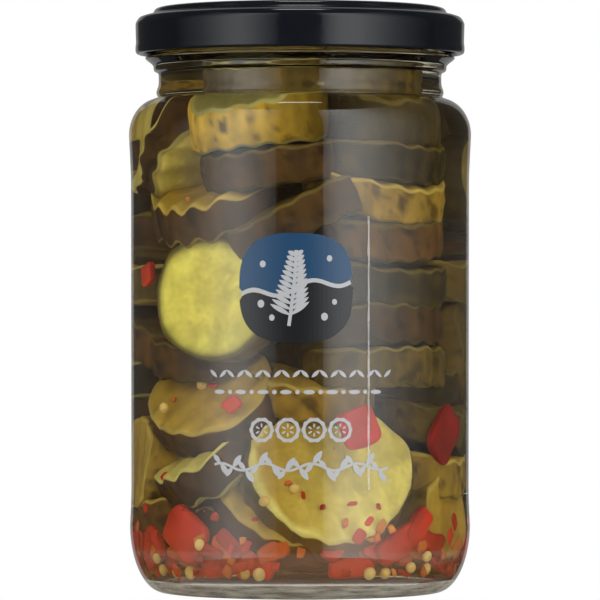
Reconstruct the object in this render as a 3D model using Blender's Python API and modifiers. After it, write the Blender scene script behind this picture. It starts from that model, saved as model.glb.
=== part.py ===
"""Pickle jar: a clear twist-off jar packed with thick cucumber slices, red pepper and mustard seeds.

The jar stands on its bearing ring at z = 0, its axis is Z and its front looks towards -Y.
An azimuth is an angle round the axis, 0 at the front and positive towards +X.
"""
import math
import random
from collections import namedtuple

import bmesh
import bpy
import numpy as np
from mathutils import Matrix, Vector

MM = 0.001
GAP = 0.3 * MM               # between neighbouring solids
TURN_STEPS = 48              # facets round every turned piece
MERGE = 1e-5

# Glass body, outside
BODY_RADIUS = 37.7 * MM
HEEL_TOP = 15.0 * MM
HEEL_CENTRE_RADIUS = 30.5 * MM
RING_INNER_RADIUS = 28.3 * MM
PUSH_UP_RADIUS = 25.5 * MM
PUSH_UP_HEIGHT = 2.2 * MM
HEEL_BAND_RADIUS = 38.0 * MM
SHOULDER_BAND_RADIUS = 38.25 * MM
PANEL_LOW = 22.0 * MM        # the straight panel that carries the label
PANEL_HIGH = 93.0 * MM
SHOULDER_LOW = 102.0 * MM
SHOULDER_TOP = 110.2 * MM
SHOULDER_CENTRE_RADIUS = 31.5 * MM

# Glass finish, the part that the lid screws on to
NECK_BEAD_RADIUS = 32.2 * MM
NECK_BEAD_HEIGHT = 111.6 * MM
NECK_RADIUS = 31.6 * MM
COLLAR_RADIUS = 32.75 * MM
COLLAR_LOW = 116.0 * MM
TRANSFER_BEAD_RADIUS = 34.8 * MM
TRANSFER_BEAD_HEIGHT = 119.2 * MM
FINISH_RADIUS = 32.5 * MM
RIM_HEIGHT = 127.0 * MM
RIM_ROUND = 1.0 * MM
THREAD_STARTS = 4
THREAD_SWEEP = 70.0          # degrees
THREAD_CENTRE_RADIUS = 33.2 * MM
THREAD_BEAD = 0.9 * MM
THREAD_LOW = 123.0 * MM
THREAD_RISE = 1.8 * MM

# Glass body, inside
BORE_RADIUS = 35.0 * MM
MOUTH_RADIUS = 29.2 * MM
FLOOR_HEIGHT = 4.0 * MM
FLOOR_CROWN = 6.0 * MM
INNER_HEEL_RADIUS = 28.5 * MM
INNER_HEEL_TOP = 11.0 * MM
INNER_SHOULDER_LOW = 100.5 * MM
INNER_SHOULDER_TOP = 108.5 * MM

# Lid
LID_HEIGHT = 130.5 * MM
LID_RADIUS = 36.8 * MM
LID_SHEET = 0.4 * MM
LID_BOTTOM = 120.1 * MM
LID_PANEL_RADIUS = 31.4 * MM
LID_STEP_RADIUS = 33.0 * MM
LID_SHOULDER_HEIGHT = 128.8 * MM
LID_SHOULDER_RADIUS = 34.5 * MM
LID_SKIRT_TOP = 127.0 * MM
LID_CURL_HEIGHT = 1.9 * MM
LID_CURL_INNER_RADIUS = 35.1 * MM
LINER_INNER_RADIUS = 29.6 * MM
LUG_TIP_RADIUS = 33.6 * MM
LUG_WIDTH = 8.0 * MM
LUG_LOW = 120.4 * MM
LUG_HIGH = 121.6 * MM

# Label, a clear film wrapped round the panel with its butt joint at the back
LABEL_LOW = 23.9 * MM
LABEL_HIGH = 83.4 * MM
LABEL_FILM = 0.2 * MM
LABEL_WRAP = 350.0           # degrees

# Cucumber slices
SLICE_THICKNESS = 8.4 * MM
SLICE_SIDES = 16
SLICE_BULGE = 0.6 * MM       # how far the skin stands out past the cut faces
CONTENT_TOP = 120.0 * MM
WALL_CLEARANCE = 0.45 * MM
SETTLE_STEP = 0.1 * MM
Slice = namedtuple("Slice", "azimuth reach height radius bearing rise")

# The slices that show at the front: azimuth in degrees, reach from the axis, height and radius in
# millimetres, then the bearing and the rise in degrees of the way its upper cut face looks.
FRONT_SLICES = (
    Slice(-25, 13.5, 113.9, 13.0, -30, 85),
    Slice(52, 13.5, 113.6, 13.0, 40, 84),
    Slice(-27, 19.0, 104.6, 13.8, -43, 77),
    Slice(-68, 21.5, 97.0, 11.5, -158, 35),
    Slice(51, 20.0, 103.6, 12.3, 60, 86),
    Slice(-18, 16.5, 95.6, 14.5, -40, 78),
    Slice(50, 19.5, 95.0, 14.0, 40, 80),
    Slice(-52, 19.5, 86.0, 14.3, -42, 72),
    Slice(-3, 17.8, 83.6, 16.0, -79, 63),
    Slice(48, 19.3, 85.4, 14.3, 40, 72),
    Slice(-40, 26.6, 65.2, 14.2, -27, 4),
    Slice(46, 19.0, 77.0, 15.0, 20, 87),
    Slice(48, 19.0, 68.3, 14.8, 100, 88),
    Slice(44, 18.8, 59.6, 15.2, -60, 87),
    Slice(47, 18.8, 50.8, 15.0, 60, 86),
    Slice(-50, 21.6, 42.4, 14.5, -42, 45),
    Slice(-50, 20.6, 30.2, 14.0, -85, 53),
    Slice(14, 22.8, 25.9, 17.5, 14, 28),
    Slice(-2, 18.5, 22.0, 15.8, 5, 35),
    Slice(66, 22.5, 38.5, 11.5, 60, 84),
    Slice(76, 22.3, 27.0, 11.5, 80, 84),
    Slice(-86, 26.2, 28.5, 11.0, -95, 5),
)

# The slices elsewhere, packed by a rule
PACK_SEED = 7
PACK_LOW = 14.0 * MM
PACK_HIGH = 115.0 * MM
PACK_STEP = 3.9 * MM
PACK_PLACES = 11             # round the jar at each height
PACK_TRIES = 9
PACK_REACH_STEP = 0.7 * MM
PACK_RADII = (11.5 * MM, 15.0 * MM)
PACK_LYING_SHARE = 0.62
PACK_CROWDING = 0.13         # share of a slice that may lie inside the others

# Pepper pieces: azimuth, reach and height of the centre, width, height and thickness in millimetres,
# then the roll in degrees.
Pepper = namedtuple("Pepper", "azimuth reach height width tall thick roll")
FRONT_PEPPERS = (
    Pepper(22, 32.6, 37.4, 9.5, 9.5, 2.6, 20),
    Pepper(66, 31.8, 35.5, 13.0, 10.5, 3.0, 48),
    Pepper(-71, 32.4, 70.8, 5.0, 5.0, 3.0, 15),
    Pepper(-48, 31.5, 14.0, 12.0, 9.5, 3.2, -35),
    Pepper(-33, 30.2, 7.8, 10.0, 6.0, 3.2, 8),
    Pepper(-17, 30.6, 7.2, 7.0, 5.0, 3.2, -12),
    Pepper(21, 30.6, 7.0, 10.0, 4.8, 3.2, 5),
    Pepper(40, 31.0, 12.0, 12.0, 6.0, 3.2, 28),
    Pepper(58, 31.5, 16.5, 11.0, 8.0, 3.2, 60),
    Pepper(74, 31.0, 9.0, 11.0, 7.0, 3.2, -15),
    Pepper(-72, 31.4, 11.0, 9.0, 8.0, 3.2, 25),
    Pepper(-27, 30.8, 42.5, 4.5, 3.2, 2.4, 40),
)
PEPPER_SEED = 11
PEPPER_ROW = 11              # pieces round the back of the bottom layer
PEPPER_ROW_START = 95.0      # degrees
PEPPER_ROW_SWEEP = 172.0
PEPPER_CORNER = 0.16         # how uneven the corners are, as a share of the size
PEPPER_WALL = 3.2 * MM

# Mustard seeds: azimuth in degrees and height in millimetres
Seed = namedtuple("Seed", "azimuth reach height")
SEED_RADIUS = 1.4 * MM
SEED_SIDES = 5
SEED_RINGS = 4
FRONT_SEEDS = (
    (-39, 12.0), (-64, 8.8), (-63, 6.6), (-55, 6.2), (-47, 6.2), (-22, 6.2), (-16, 6.1),
    (35, 6.2), (46, 7.2), (53, 9.4), (55, 6.9), (28, 6.2), (-58, 41.5), (-13, 21.5),
)
SEED_ROW = 20                # seeds round the back

# The hidden middle of the heap
CORE_SIDES = 20
CORE_RADIUS = 25.5 * MM
CORE_NECK_RADIUS = 20.0 * MM
CORE_LOW = 6.6 * MM
CORE_HIGH = 112.5 * MM


def clear_scene():
    for obj in list(bpy.data.objects):
        bpy.data.objects.remove(obj, do_unlink=True)


def new_collection(name):
    collection = bpy.data.collections.new(name)
    bpy.context.scene.collection.children.link(collection)
    return collection


def make_material(name, colour, roughness, metallic=0.0, transmission=0.0):
    material = bpy.data.materials.new(name)
    material.use_nodes = True
    shader = material.node_tree.nodes["Principled BSDF"]
    shader.inputs["Base Color"].default_value = (*colour, 1.0)
    shader.inputs["Roughness"].default_value = roughness
    shader.inputs["Metallic"].default_value = metallic
    shader.inputs["Transmission Weight"].default_value = transmission
    return material


def new_object(name, mesh, collection, material=None):
    obj = bpy.data.objects.new(name, mesh)
    collection.objects.link(obj)
    if material is not None:
        mesh.materials.append(material)
    return obj


def as_cutter(obj):
    obj.hide_render = True
    obj.display_type = "WIRE"


def quarter(centre_radius, centre_height, width, height, start, end, count):
    """Points of an elliptical arc in the profile plane; 0 degrees looks outwards, 90 up."""
    points = []
    for index in range(count + 1):
        angle = math.radians(start + (end - start) * index / count)
        points.append((centre_radius + width * math.cos(angle), centre_height + height * math.sin(angle)))
    return points


def profile_mesh(name, points):
    mesh = bpy.data.meshes.new(name)
    vertices = [(radius, 0.0, height) for radius, height in points]
    edges = [(index, index + 1) for index in range(len(points) - 1)]
    mesh.from_pydata(vertices, edges, [])
    return mesh


def add_screw(obj, steps, sweep=360.0):
    screw = obj.modifiers.new("Turn", "SCREW")
    screw.axis = "Z"
    screw.angle = math.radians(sweep)
    screw.steps = steps
    screw.render_steps = steps
    screw.use_merge_vertices = sweep == 360.0
    screw.merge_threshold = MERGE
    screw.use_smooth_shade = True
    return screw


def add_union(obj, collection):
    union = obj.modifiers.new("Join", "BOOLEAN")
    union.operation = "UNION"
    union.operand_type = "COLLECTION"
    union.collection = collection
    union.solver = "EXACT"


def evaluated_mesh(obj):
    bpy.context.view_layer.update()
    depsgraph = bpy.context.evaluated_depsgraph_get()
    return bpy.data.meshes.new_from_object(obj.evaluated_get(depsgraph), depsgraph=depsgraph)


# The glass jar

def inner_profile():
    """The inside of the glass, from the floor's centre up to the mouth."""
    points = [(0.0, FLOOR_CROWN)]
    points += quarter(INNER_HEEL_RADIUS, INNER_HEEL_TOP, BORE_RADIUS - INNER_HEEL_RADIUS,
                      INNER_HEEL_TOP - FLOOR_HEIGHT, -90, 0, 4)
    points += quarter(MOUTH_RADIUS, INNER_SHOULDER_LOW, BORE_RADIUS - MOUTH_RADIUS,
                      INNER_SHOULDER_TOP - INNER_SHOULDER_LOW, 0, 90, 4)
    points.append((MOUTH_RADIUS, RIM_HEIGHT - RIM_ROUND))
    return points


def finish_profile():
    """The rim and the neck, from the top down to the shoulder."""
    return [
        (MOUTH_RADIUS + RIM_ROUND, RIM_HEIGHT),
        (FINISH_RADIUS - RIM_ROUND, RIM_HEIGHT),
        (FINISH_RADIUS, RIM_HEIGHT - RIM_ROUND),
        (FINISH_RADIUS, TRANSFER_BEAD_HEIGHT + 0.8 * MM),
        (TRANSFER_BEAD_RADIUS - 0.6 * MM, TRANSFER_BEAD_HEIGHT + 0.5 * MM),
        (TRANSFER_BEAD_RADIUS, TRANSFER_BEAD_HEIGHT),
        (COLLAR_RADIUS, TRANSFER_BEAD_HEIGHT - 1.6 * MM),
        (COLLAR_RADIUS, COLLAR_LOW + 0.3 * MM),
        (NECK_RADIUS, COLLAR_LOW - 0.1 * MM),
        (NECK_RADIUS, NECK_BEAD_HEIGHT + 1.6 * MM),
        (NECK_BEAD_RADIUS, NECK_BEAD_HEIGHT),
        (NECK_BEAD_RADIUS - 0.3 * MM, SHOULDER_TOP + 0.5 * MM),
    ]


def outer_profile():
    """The shoulder, the panel, the heel and the underside."""
    points = quarter(SHOULDER_CENTRE_RADIUS, SHOULDER_LOW, SHOULDER_BAND_RADIUS - SHOULDER_CENTRE_RADIUS,
                     SHOULDER_TOP - SHOULDER_LOW, 75, 0, 5)
    points.append((BODY_RADIUS + 0.1 * MM, PANEL_HIGH))
    points.append((BODY_RADIUS, PANEL_LOW))
    points += quarter(HEEL_CENTRE_RADIUS, HEEL_TOP, HEEL_BAND_RADIUS - HEEL_CENTRE_RADIUS, HEEL_TOP, 0, -90, 5)
    points.append((RING_INNER_RADIUS, 0.0))
    points.append((PUSH_UP_RADIUS, 1.2 * MM))
    points.append((0.0, PUSH_UP_HEIGHT))
    return points


def thread_ridge(name, start, collection):
    """One short helical ridge on the finish."""
    curve = bpy.data.curves.new(name, "CURVE")
    curve.dimensions = "3D"
    curve.bevel_depth = THREAD_BEAD
    curve.bevel_resolution = 1
    curve.use_fill_caps = True
    spline = curve.splines.new("POLY")
    count = 8
    spline.points.add(count - 1)
    for index, point in enumerate(spline.points):
        share = index / (count - 1)
        angle = math.radians(start + THREAD_SWEEP * share)
        height = THREAD_LOW + THREAD_RISE * share
        point.co = (THREAD_CENTRE_RADIUS * math.sin(angle), -THREAD_CENTRE_RADIUS * math.cos(angle), height, 1.0)
    tube = bpy.data.objects.new(name + "_curve", curve)
    collection.objects.link(tube)
    mesh = evaluated_mesh(tube)
    bpy.data.objects.remove(tube, do_unlink=True)
    shell = bmesh.new()
    shell.from_mesh(mesh)
    bmesh.ops.remove_doubles(shell, verts=shell.verts, dist=MERGE)
    bmesh.ops.recalc_face_normals(shell, faces=shell.faces)
    shell.to_mesh(mesh)
    shell.free()
    as_cutter(new_object(name, mesh, collection))


def build_jar(parts, cutters, material):
    ridges = bpy.data.collections.new("thread_ridges")
    cutters.children.link(ridges)
    for index in range(THREAD_STARTS):
        thread_ridge(f"thread_ridge_{index + 1}", 360.0 * index / THREAD_STARTS, ridges)
    points = inner_profile() + finish_profile() + outer_profile()
    jar = new_object("jar", profile_mesh("jar", points), parts, material)
    add_screw(jar, TURN_STEPS)
    add_union(jar, ridges)


# The lid

def lid_profile():
    """Down the outside of the sheet, round the curl, and back up the inside over the sealing ring."""
    seal_low = RIM_HEIGHT + GAP
    return [
        (0.0, LID_HEIGHT),
        (LID_PANEL_RADIUS, LID_HEIGHT),
        (LID_PANEL_RADIUS + 1.0 * MM, LID_HEIGHT - 0.3 * MM),
        (LID_STEP_RADIUS, LID_SHOULDER_HEIGHT + 0.2 * MM),
        (LID_SHOULDER_RADIUS, LID_SHOULDER_HEIGHT),
        (LID_SHOULDER_RADIUS + 1.5 * MM, LID_SHOULDER_HEIGHT - 0.5 * MM),
        (LID_RADIUS, LID_SKIRT_TOP),
        (LID_RADIUS, LID_BOTTOM + 0.5 * MM),
        (LID_RADIUS - 0.4 * MM, LID_BOTTOM),
        (LID_CURL_INNER_RADIUS + 0.4 * MM, LID_BOTTOM),
        (LID_CURL_INNER_RADIUS, LID_BOTTOM + 0.5 * MM),
        (LID_CURL_INNER_RADIUS, LID_BOTTOM + LID_CURL_HEIGHT - 0.4 * MM),
        (LID_RADIUS - LID_SHEET, LID_BOTTOM + LID_CURL_HEIGHT),
        (LID_RADIUS - LID_SHEET, LID_SKIRT_TOP - 0.2 * MM),
        (LID_SHOULDER_RADIUS, seal_low + 0.9 * MM),
        (LID_SHOULDER_RADIUS - 1.2 * MM, seal_low),
        (LINER_INNER_RADIUS + 0.6 * MM, seal_low),
        (LINER_INNER_RADIUS, LID_HEIGHT - LID_SHEET),
        (0.0, LID_HEIGHT - LID_SHEET),
    ]


def lid_lug(name, azimuth, collection):
    """A lug bent in from the curl, which catches under a thread."""
    outer = LID_CURL_INNER_RADIUS + 0.6 * MM
    size = Vector((LUG_WIDTH, outer - LUG_TIP_RADIUS, LUG_HIGH - LUG_LOW))
    centre = Vector((0.0, -(outer + LUG_TIP_RADIUS) / 2, (LUG_HIGH + LUG_LOW) / 2))
    shell = bmesh.new()
    bmesh.ops.create_cube(shell, size=1.0)
    for vertex in shell.verts:
        vertex.co = centre + Vector(a * b for a, b in zip(vertex.co, size))
    bmesh.ops.rotate(shell, verts=shell.verts, cent=(0, 0, 0),
                     matrix=Matrix.Rotation(math.radians(azimuth), 3, "Z"))
    mesh = bpy.data.meshes.new(name)
    shell.to_mesh(mesh)
    shell.free()
    as_cutter(new_object(name, mesh, collection))


def build_lid(parts, cutters, material):
    lugs = bpy.data.collections.new("lid_lugs")
    cutters.children.link(lugs)
    for index in range(THREAD_STARTS):
        lid_lug(f"lid_lug_{index + 1}", 360.0 * (index + 0.5) / THREAD_STARTS, lugs)
    lid = new_object("lid", profile_mesh("lid", lid_profile()), parts, material)
    add_screw(lid, TURN_STEPS)
    add_union(lid, lugs)


# The label

def build_label(parts, material):
    """An open band turned round the panel, thickened outwards, with its joint at the back."""
    radius = BODY_RADIUS + 0.1 * MM + GAP
    label = new_object("label", profile_mesh("label", [(radius, LABEL_HIGH), (radius, LABEL_LOW)]), parts, material)
    label.rotation_euler.z = math.radians(90.0 + (360.0 - LABEL_WRAP) / 2)
    add_screw(label, TURN_STEPS, LABEL_WRAP)
    film = label.modifiers.new("Film", "SOLIDIFY")
    film.thickness = LABEL_FILM
    film.offset = 1.0
    film.use_even_offset = False


# The contents

def heading(bearing, rise=0.0):
    """The unit vector at a bearing round the jar, tipped up by the rise; both in degrees."""
    bearing = math.radians(bearing)
    rise = math.radians(rise)
    flat = math.cos(rise)
    return Vector((flat * math.sin(bearing), -flat * math.cos(bearing), math.sin(rise)))


def cavity_radius(height):
    """The radius of the inside of the glass at a height."""
    if height < INNER_HEEL_TOP:
        drop = (INNER_HEEL_TOP - height) / (INNER_HEEL_TOP - FLOOR_HEIGHT)
        return INNER_HEEL_RADIUS + (BORE_RADIUS - INNER_HEEL_RADIUS) * math.sqrt(max(0.0, 1.0 - drop * drop))
    if height > INNER_SHOULDER_LOW:
        lift = min(1.0, (height - INNER_SHOULDER_LOW) / (INNER_SHOULDER_TOP - INNER_SHOULDER_LOW))
        return MOUTH_RADIUS + (BORE_RADIUS - MOUTH_RADIUS) * math.sqrt(max(0.0, 1.0 - lift * lift))
    return BORE_RADIUS


def inside_glass(points):
    """Whether every point keeps clear of the wall, the floor and the lid."""
    for x, y, z in points:
        reach = math.hypot(x, y)
        floor = FLOOR_CROWN - (FLOOR_CROWN - FLOOR_HEIGHT) * min(1.0, reach / INNER_HEEL_RADIUS)
        if z > CONTENT_TOP or z < floor + WALL_CLEARANCE or reach > cavity_radius(z) - WALL_CLEARANCE:
            return False
    return True


def settled(piece, outline, step):
    """The piece drawn in towards the axis until its outline clears the glass, or None where it can't."""
    while piece.reach > 0.0:
        if inside_glass(outline(piece)):
            return piece
        piece = piece._replace(reach=piece.reach - step)
    return None


def lifted(piece, outline, step):
    """The piece settled against the glass, raised where the floor is in its way."""
    found = settled(piece, outline, step)
    while found is None:
        piece = piece._replace(height=piece.height + step)
        found = settled(piece, outline, step)
    return found


def slice_centre(piece):
    return heading(piece.azimuth) * piece.reach + Vector((0.0, 0.0, piece.height))


def slice_axes(piece):
    """Two unit vectors in the plane of the cut, and its normal."""
    normal = heading(piece.bearing, piece.rise)
    first = normal.orthogonal().normalized()
    return first, normal.cross(first), normal


def slice_points(piece, shares, levels, count=12):
    """Points of a slice as rows of an array, on rings at shares of its radius and thickness."""
    first, second, normal = slice_axes(piece)
    centre = slice_centre(piece)
    rows = []
    for level in levels:
        for share in shares:
            for index in range(count):
                angle = 2.0 * math.pi * index / count
                flat = first * math.cos(angle) + second * math.sin(angle)
                rows.append(centre + flat * piece.radius * share + normal * SLICE_THICKNESS * level)
    return np.array(rows)


def slice_rims(piece):
    return slice_points(piece, (1.0,), (-0.5, 0.5))


def crowding(points, pieces):
    """The share of the points that lie inside the slices already there."""
    inside = np.zeros(len(points), dtype=bool)
    for other in pieces:
        offset = points - np.array(slice_centre(other))
        along = offset @ np.array(heading(other.bearing, other.rise))
        across = np.sqrt(np.maximum(0.0, (offset ** 2).sum(axis=1) - along ** 2))
        inside |= (np.abs(along) < SLICE_THICKNESS / 2) & (across < other.radius)
    return inside.mean()


def random_slice(draw, azimuth, height):
    """A slice that lies nearly flat, or one that leans with a cut face to the glass."""
    radius = draw.uniform(*PACK_RADII)
    if draw.random() < PACK_LYING_SHARE:
        return Slice(azimuth, BORE_RADIUS, height, radius, draw.uniform(-180, 180), draw.uniform(66, 88))
    bearing = azimuth + draw.uniform(-30, 30)
    return Slice(azimuth, BORE_RADIUS, height, radius, bearing, draw.uniform(-12, 28))


def pack_slices():
    """The front slices as placed by hand, then the others wherever the jar still has room."""
    pieces = []
    for piece in FRONT_SLICES:
        sized = piece._replace(reach=piece.reach * MM, height=piece.height * MM, radius=piece.radius * MM)
        pieces.append(settled(sized, slice_rims, SETTLE_STEP))
    draw = random.Random(PACK_SEED)
    height = PACK_LOW
    while height < PACK_HIGH:
        turn = draw.uniform(0, 360)
        for place in range(PACK_PLACES):
            best = None
            for _ in range(PACK_TRIES):
                azimuth = turn + 360.0 * place / PACK_PLACES + draw.uniform(-10, 10)
                piece = settled(random_slice(draw, azimuth, height), slice_rims, PACK_REACH_STEP)
                if piece is None:
                    continue
                crowd = crowding(slice_points(piece, (0.45, 0.95), (-0.45, 0.0, 0.45)), pieces)
                if best is None or crowd < best[0]:
                    best = (crowd, piece)
            if best is not None and best[0] <= PACK_CROWDING:
                pieces.append(best[1])
        height += PACK_STEP
    return pieces


def slice_mesh(name, piece):
    """A thick disc whose skin bulges a little between its two cut faces."""
    shell = bmesh.new()
    face_radius = piece.radius - SLICE_BULGE
    bmesh.ops.create_cone(shell, cap_ends=True, segments=SLICE_SIDES, radius1=face_radius,
                          radius2=face_radius, depth=SLICE_THICKNESS)
    bmesh.ops.bisect_plane(shell, geom=shell.verts[:] + shell.edges[:] + shell.faces[:],
                           plane_co=(0, 0, 0), plane_no=(0, 0, 1))
    for vertex in shell.verts:
        if abs(vertex.co.z) < MERGE:
            vertex.co *= piece.radius / face_radius
    first, second, normal = slice_axes(piece)
    turn = Matrix((first, second, normal)).transposed().to_4x4()
    shell.transform(Matrix.Translation(slice_centre(piece)) @ turn)
    mesh = bpy.data.meshes.new(name)
    shell.to_mesh(mesh)
    shell.free()
    return mesh


def pepper_corners(piece, uneven=((1.0, 1.0, 1.0),) * 8):
    """The eight corners of a flat chunk that lies with its broad side to the glass."""
    outward = heading(piece.azimuth)
    roll = Matrix.Rotation(math.radians(piece.roll), 3, outward)
    up = roll @ Vector((0.0, 0.0, 1.0))
    side = outward.cross(up)
    centre = outward * piece.reach + Vector((0.0, 0.0, piece.height))
    corners = []
    for index, share in enumerate(uneven):
        across = (index % 2 - 0.5) * piece.width * share[0]
        along = (index // 2 % 2 - 0.5) * piece.thick * share[1]
        above = (index // 4 - 0.5) * piece.tall * share[2]
        corners.append(centre + side * across + outward * along + up * above)
    return corners


def pack_peppers():
    """The pepper pieces seen at the front, and a row of them round the back of the bottom layer."""
    pieces = []
    for piece in FRONT_PEPPERS:
        lengths = [value * MM for value in piece[1:6]]
        pieces.append(Pepper(piece.azimuth, *lengths, piece.roll))
    draw = random.Random(PEPPER_SEED)
    for index in range(PEPPER_ROW):
        azimuth = PEPPER_ROW_START + PEPPER_ROW_SWEEP * index / (PEPPER_ROW - 1) + draw.uniform(-4, 4)
        height = draw.uniform(8.5, 13.0) * MM
        width = draw.uniform(7.0, 11.5) * MM
        tall = draw.uniform(5.0, 7.5) * MM
        pieces.append(Pepper(azimuth, BORE_RADIUS, height, width, tall, PEPPER_WALL, draw.uniform(-40, 40)))
    return [lifted(piece, pepper_corners, SETTLE_STEP) for piece in pieces]


def pepper_mesh(name, piece, draw):
    """The convex hull of the chunk's corners, each drawn in by its own amount."""
    uneven = [[draw.uniform(1.0 - PEPPER_CORNER, 1.0) for _ in range(3)] for _ in range(8)]
    shell = bmesh.new()
    for corner in pepper_corners(piece, uneven):
        shell.verts.new(corner)
    bmesh.ops.convex_hull(shell, input=shell.verts)
    bmesh.ops.recalc_face_normals(shell, faces=shell.faces)
    mesh = bpy.data.meshes.new(name)
    shell.to_mesh(mesh)
    shell.free()
    return mesh


def seed_centre(piece):
    return heading(piece.azimuth) * piece.reach + Vector((0.0, 0.0, piece.height))


def seed_outline(piece):
    """Points round a seed in the plane through the jar's axis."""
    outward = heading(piece.azimuth)
    points = []
    for index in range(12):
        angle = 2.0 * math.pi * index / 12
        offset = outward * math.cos(angle) + Vector((0.0, 0.0, math.sin(angle)))
        points.append(seed_centre(piece) + offset * SEED_RADIUS)
    return points


def pack_seeds():
    """The mustard seeds, each settled against the glass."""
    places = [(azimuth, height * MM) for azimuth, height in FRONT_SEEDS]
    draw = random.Random(PEPPER_SEED)
    for index in range(SEED_ROW):
        azimuth = PEPPER_ROW_START + PEPPER_ROW_SWEEP * (index + draw.random()) / SEED_ROW
        places.append((azimuth, draw.uniform(6.0, 11.0) * MM))
    seeds = [Seed(azimuth, BORE_RADIUS, height) for azimuth, height in places]
    return [lifted(seed, seed_outline, SETTLE_STEP) for seed in seeds]


def seed_mesh(name, centre):
    shell = bmesh.new()
    bmesh.ops.create_uvsphere(shell, u_segments=SEED_SIDES, v_segments=SEED_RINGS, radius=SEED_RADIUS)
    bmesh.ops.translate(shell, verts=shell.verts, vec=centre)
    mesh = bpy.data.meshes.new(name)
    shell.to_mesh(mesh)
    shell.free()
    return mesh


def core_mesh(name):
    """The hidden middle, a plain spindle that every piece reaches into."""
    points = [(0.0, CORE_LOW), (CORE_RADIUS, CORE_LOW), (CORE_RADIUS, INNER_SHOULDER_LOW),
              (CORE_NECK_RADIUS, INNER_SHOULDER_TOP), (CORE_NECK_RADIUS, CORE_HIGH), (0.0, CORE_HIGH)]
    return profile_mesh(name, points)


def keep_outer_shell(mesh):
    """Drop the sealed hollows and loose scraps that joining leaves, keeping the largest shell."""
    shell = bmesh.new()
    shell.from_mesh(mesh)
    bmesh.ops.remove_doubles(shell, verts=shell.verts, dist=MERGE / 10)
    unseen = set(shell.verts)
    groups = []
    while unseen:
        group = {unseen.pop()}
        edge_of_group = list(group)
        while edge_of_group:
            vertex = edge_of_group.pop()
            for link in vertex.link_edges:
                other = link.other_vert(vertex)
                if other in unseen:
                    unseen.discard(other)
                    group.add(other)
                    edge_of_group.append(other)
        groups.append(group)
    groups.sort(key=len)
    loose = [vertex for group in groups[:-1] for vertex in group]
    bmesh.ops.delete(shell, geom=loose, context="VERTS")
    shell.to_mesh(mesh)
    shell.free()


def build_heap(parts, cutters, material):
    pieces = bpy.data.collections.new("heap_pieces")
    cutters.children.link(pieces)
    for index, piece in enumerate(pack_slices()):
        name = f"slice_{index + 1:02d}"
        new_object(name, slice_mesh(name, piece), pieces)
    draw = random.Random(PEPPER_SEED)
    for index, piece in enumerate(pack_peppers()):
        name = f"pepper_{index + 1:02d}"
        new_object(name, pepper_mesh(name, piece, draw), pieces)
    for index, seed in enumerate(pack_seeds()):
        name = f"seed_{index + 1:02d}"
        new_object(name, seed_mesh(name, seed_centre(seed)), pieces)
    heap = new_object("pickles", core_mesh("pickles"), parts, material)
    add_screw(heap, CORE_SIDES)
    heap.data = evaluated_mesh(heap)
    heap.modifiers.clear()
    add_union(heap, pieces)
    joined = evaluated_mesh(heap)
    heap.modifiers.clear()
    heap.data = joined
    keep_outer_shell(heap.data)
    for obj in list(pieces.objects):
        bpy.data.objects.remove(obj, do_unlink=True)
    bpy.data.collections.remove(pieces)


def main():
    clear_scene()
    parts = new_collection("pickle_jar")
    cutters = new_collection("cutters")
    glass = make_material("clear_glass", (0.86, 0.9, 0.86), 0.02, transmission=1.0)
    tin = make_material("dark_lacquered_tin", (0.012, 0.014, 0.018), 0.35)
    film = make_material("clear_film", (0.8, 0.8, 0.78), 0.2, transmission=0.9)
    pickle = make_material("pickled_cucumber", (0.28, 0.2, 0.06), 0.4)
    build_jar(parts, cutters, glass)
    build_lid(parts, cutters, tin)
    build_label(parts, film)
    build_heap(parts, cutters, pickle)


main()
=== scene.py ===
"""Pickle jar, the looks: glass, film, print, lacquered lid, brine, crinkle-cut slices and the rest.

The frame is the part's own: the jar stands at z = 0, its axis is Z and its front looks towards -Y.
An azimuth is an angle round the axis, 0 at the front and positive towards +X.
"""
import math
import random
from collections import namedtuple

import bmesh
import bpy
import numpy as np
from mathutils import Matrix, Vector
from mathutils.geometry import tessellate_polygon


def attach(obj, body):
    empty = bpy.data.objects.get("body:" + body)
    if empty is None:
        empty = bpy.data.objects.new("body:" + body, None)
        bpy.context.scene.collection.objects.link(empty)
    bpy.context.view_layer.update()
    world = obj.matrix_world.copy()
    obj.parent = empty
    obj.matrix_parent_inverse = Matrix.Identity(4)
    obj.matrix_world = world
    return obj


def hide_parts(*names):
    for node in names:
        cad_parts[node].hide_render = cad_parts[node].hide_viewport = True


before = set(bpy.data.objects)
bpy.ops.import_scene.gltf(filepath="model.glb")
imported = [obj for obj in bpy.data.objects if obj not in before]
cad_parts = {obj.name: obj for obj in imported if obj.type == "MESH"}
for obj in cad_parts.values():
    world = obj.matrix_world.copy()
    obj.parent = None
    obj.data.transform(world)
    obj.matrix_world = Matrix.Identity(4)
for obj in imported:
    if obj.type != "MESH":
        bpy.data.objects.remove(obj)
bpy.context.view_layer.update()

MM = 0.001
GAP = 0.3 * MM               # between neighbouring solids
BODY = "root"

# Glass body, outside
BODY_RADIUS = 37.7 * MM
HEEL_TOP = 15.0 * MM
HEEL_CENTRE_RADIUS = 30.5 * MM
RING_INNER_RADIUS = 28.3 * MM
PUSH_UP_RADIUS = 25.5 * MM
PUSH_UP_HEIGHT = 2.2 * MM
HEEL_BAND_RADIUS = 38.0 * MM
SHOULDER_BAND_RADIUS = 38.25 * MM
PANEL_LOW = 22.0 * MM        # the straight panel that carries the label
PANEL_HIGH = 93.0 * MM
SHOULDER_LOW = 102.0 * MM
SHOULDER_TOP = 110.2 * MM
SHOULDER_CENTRE_RADIUS = 31.5 * MM

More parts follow.
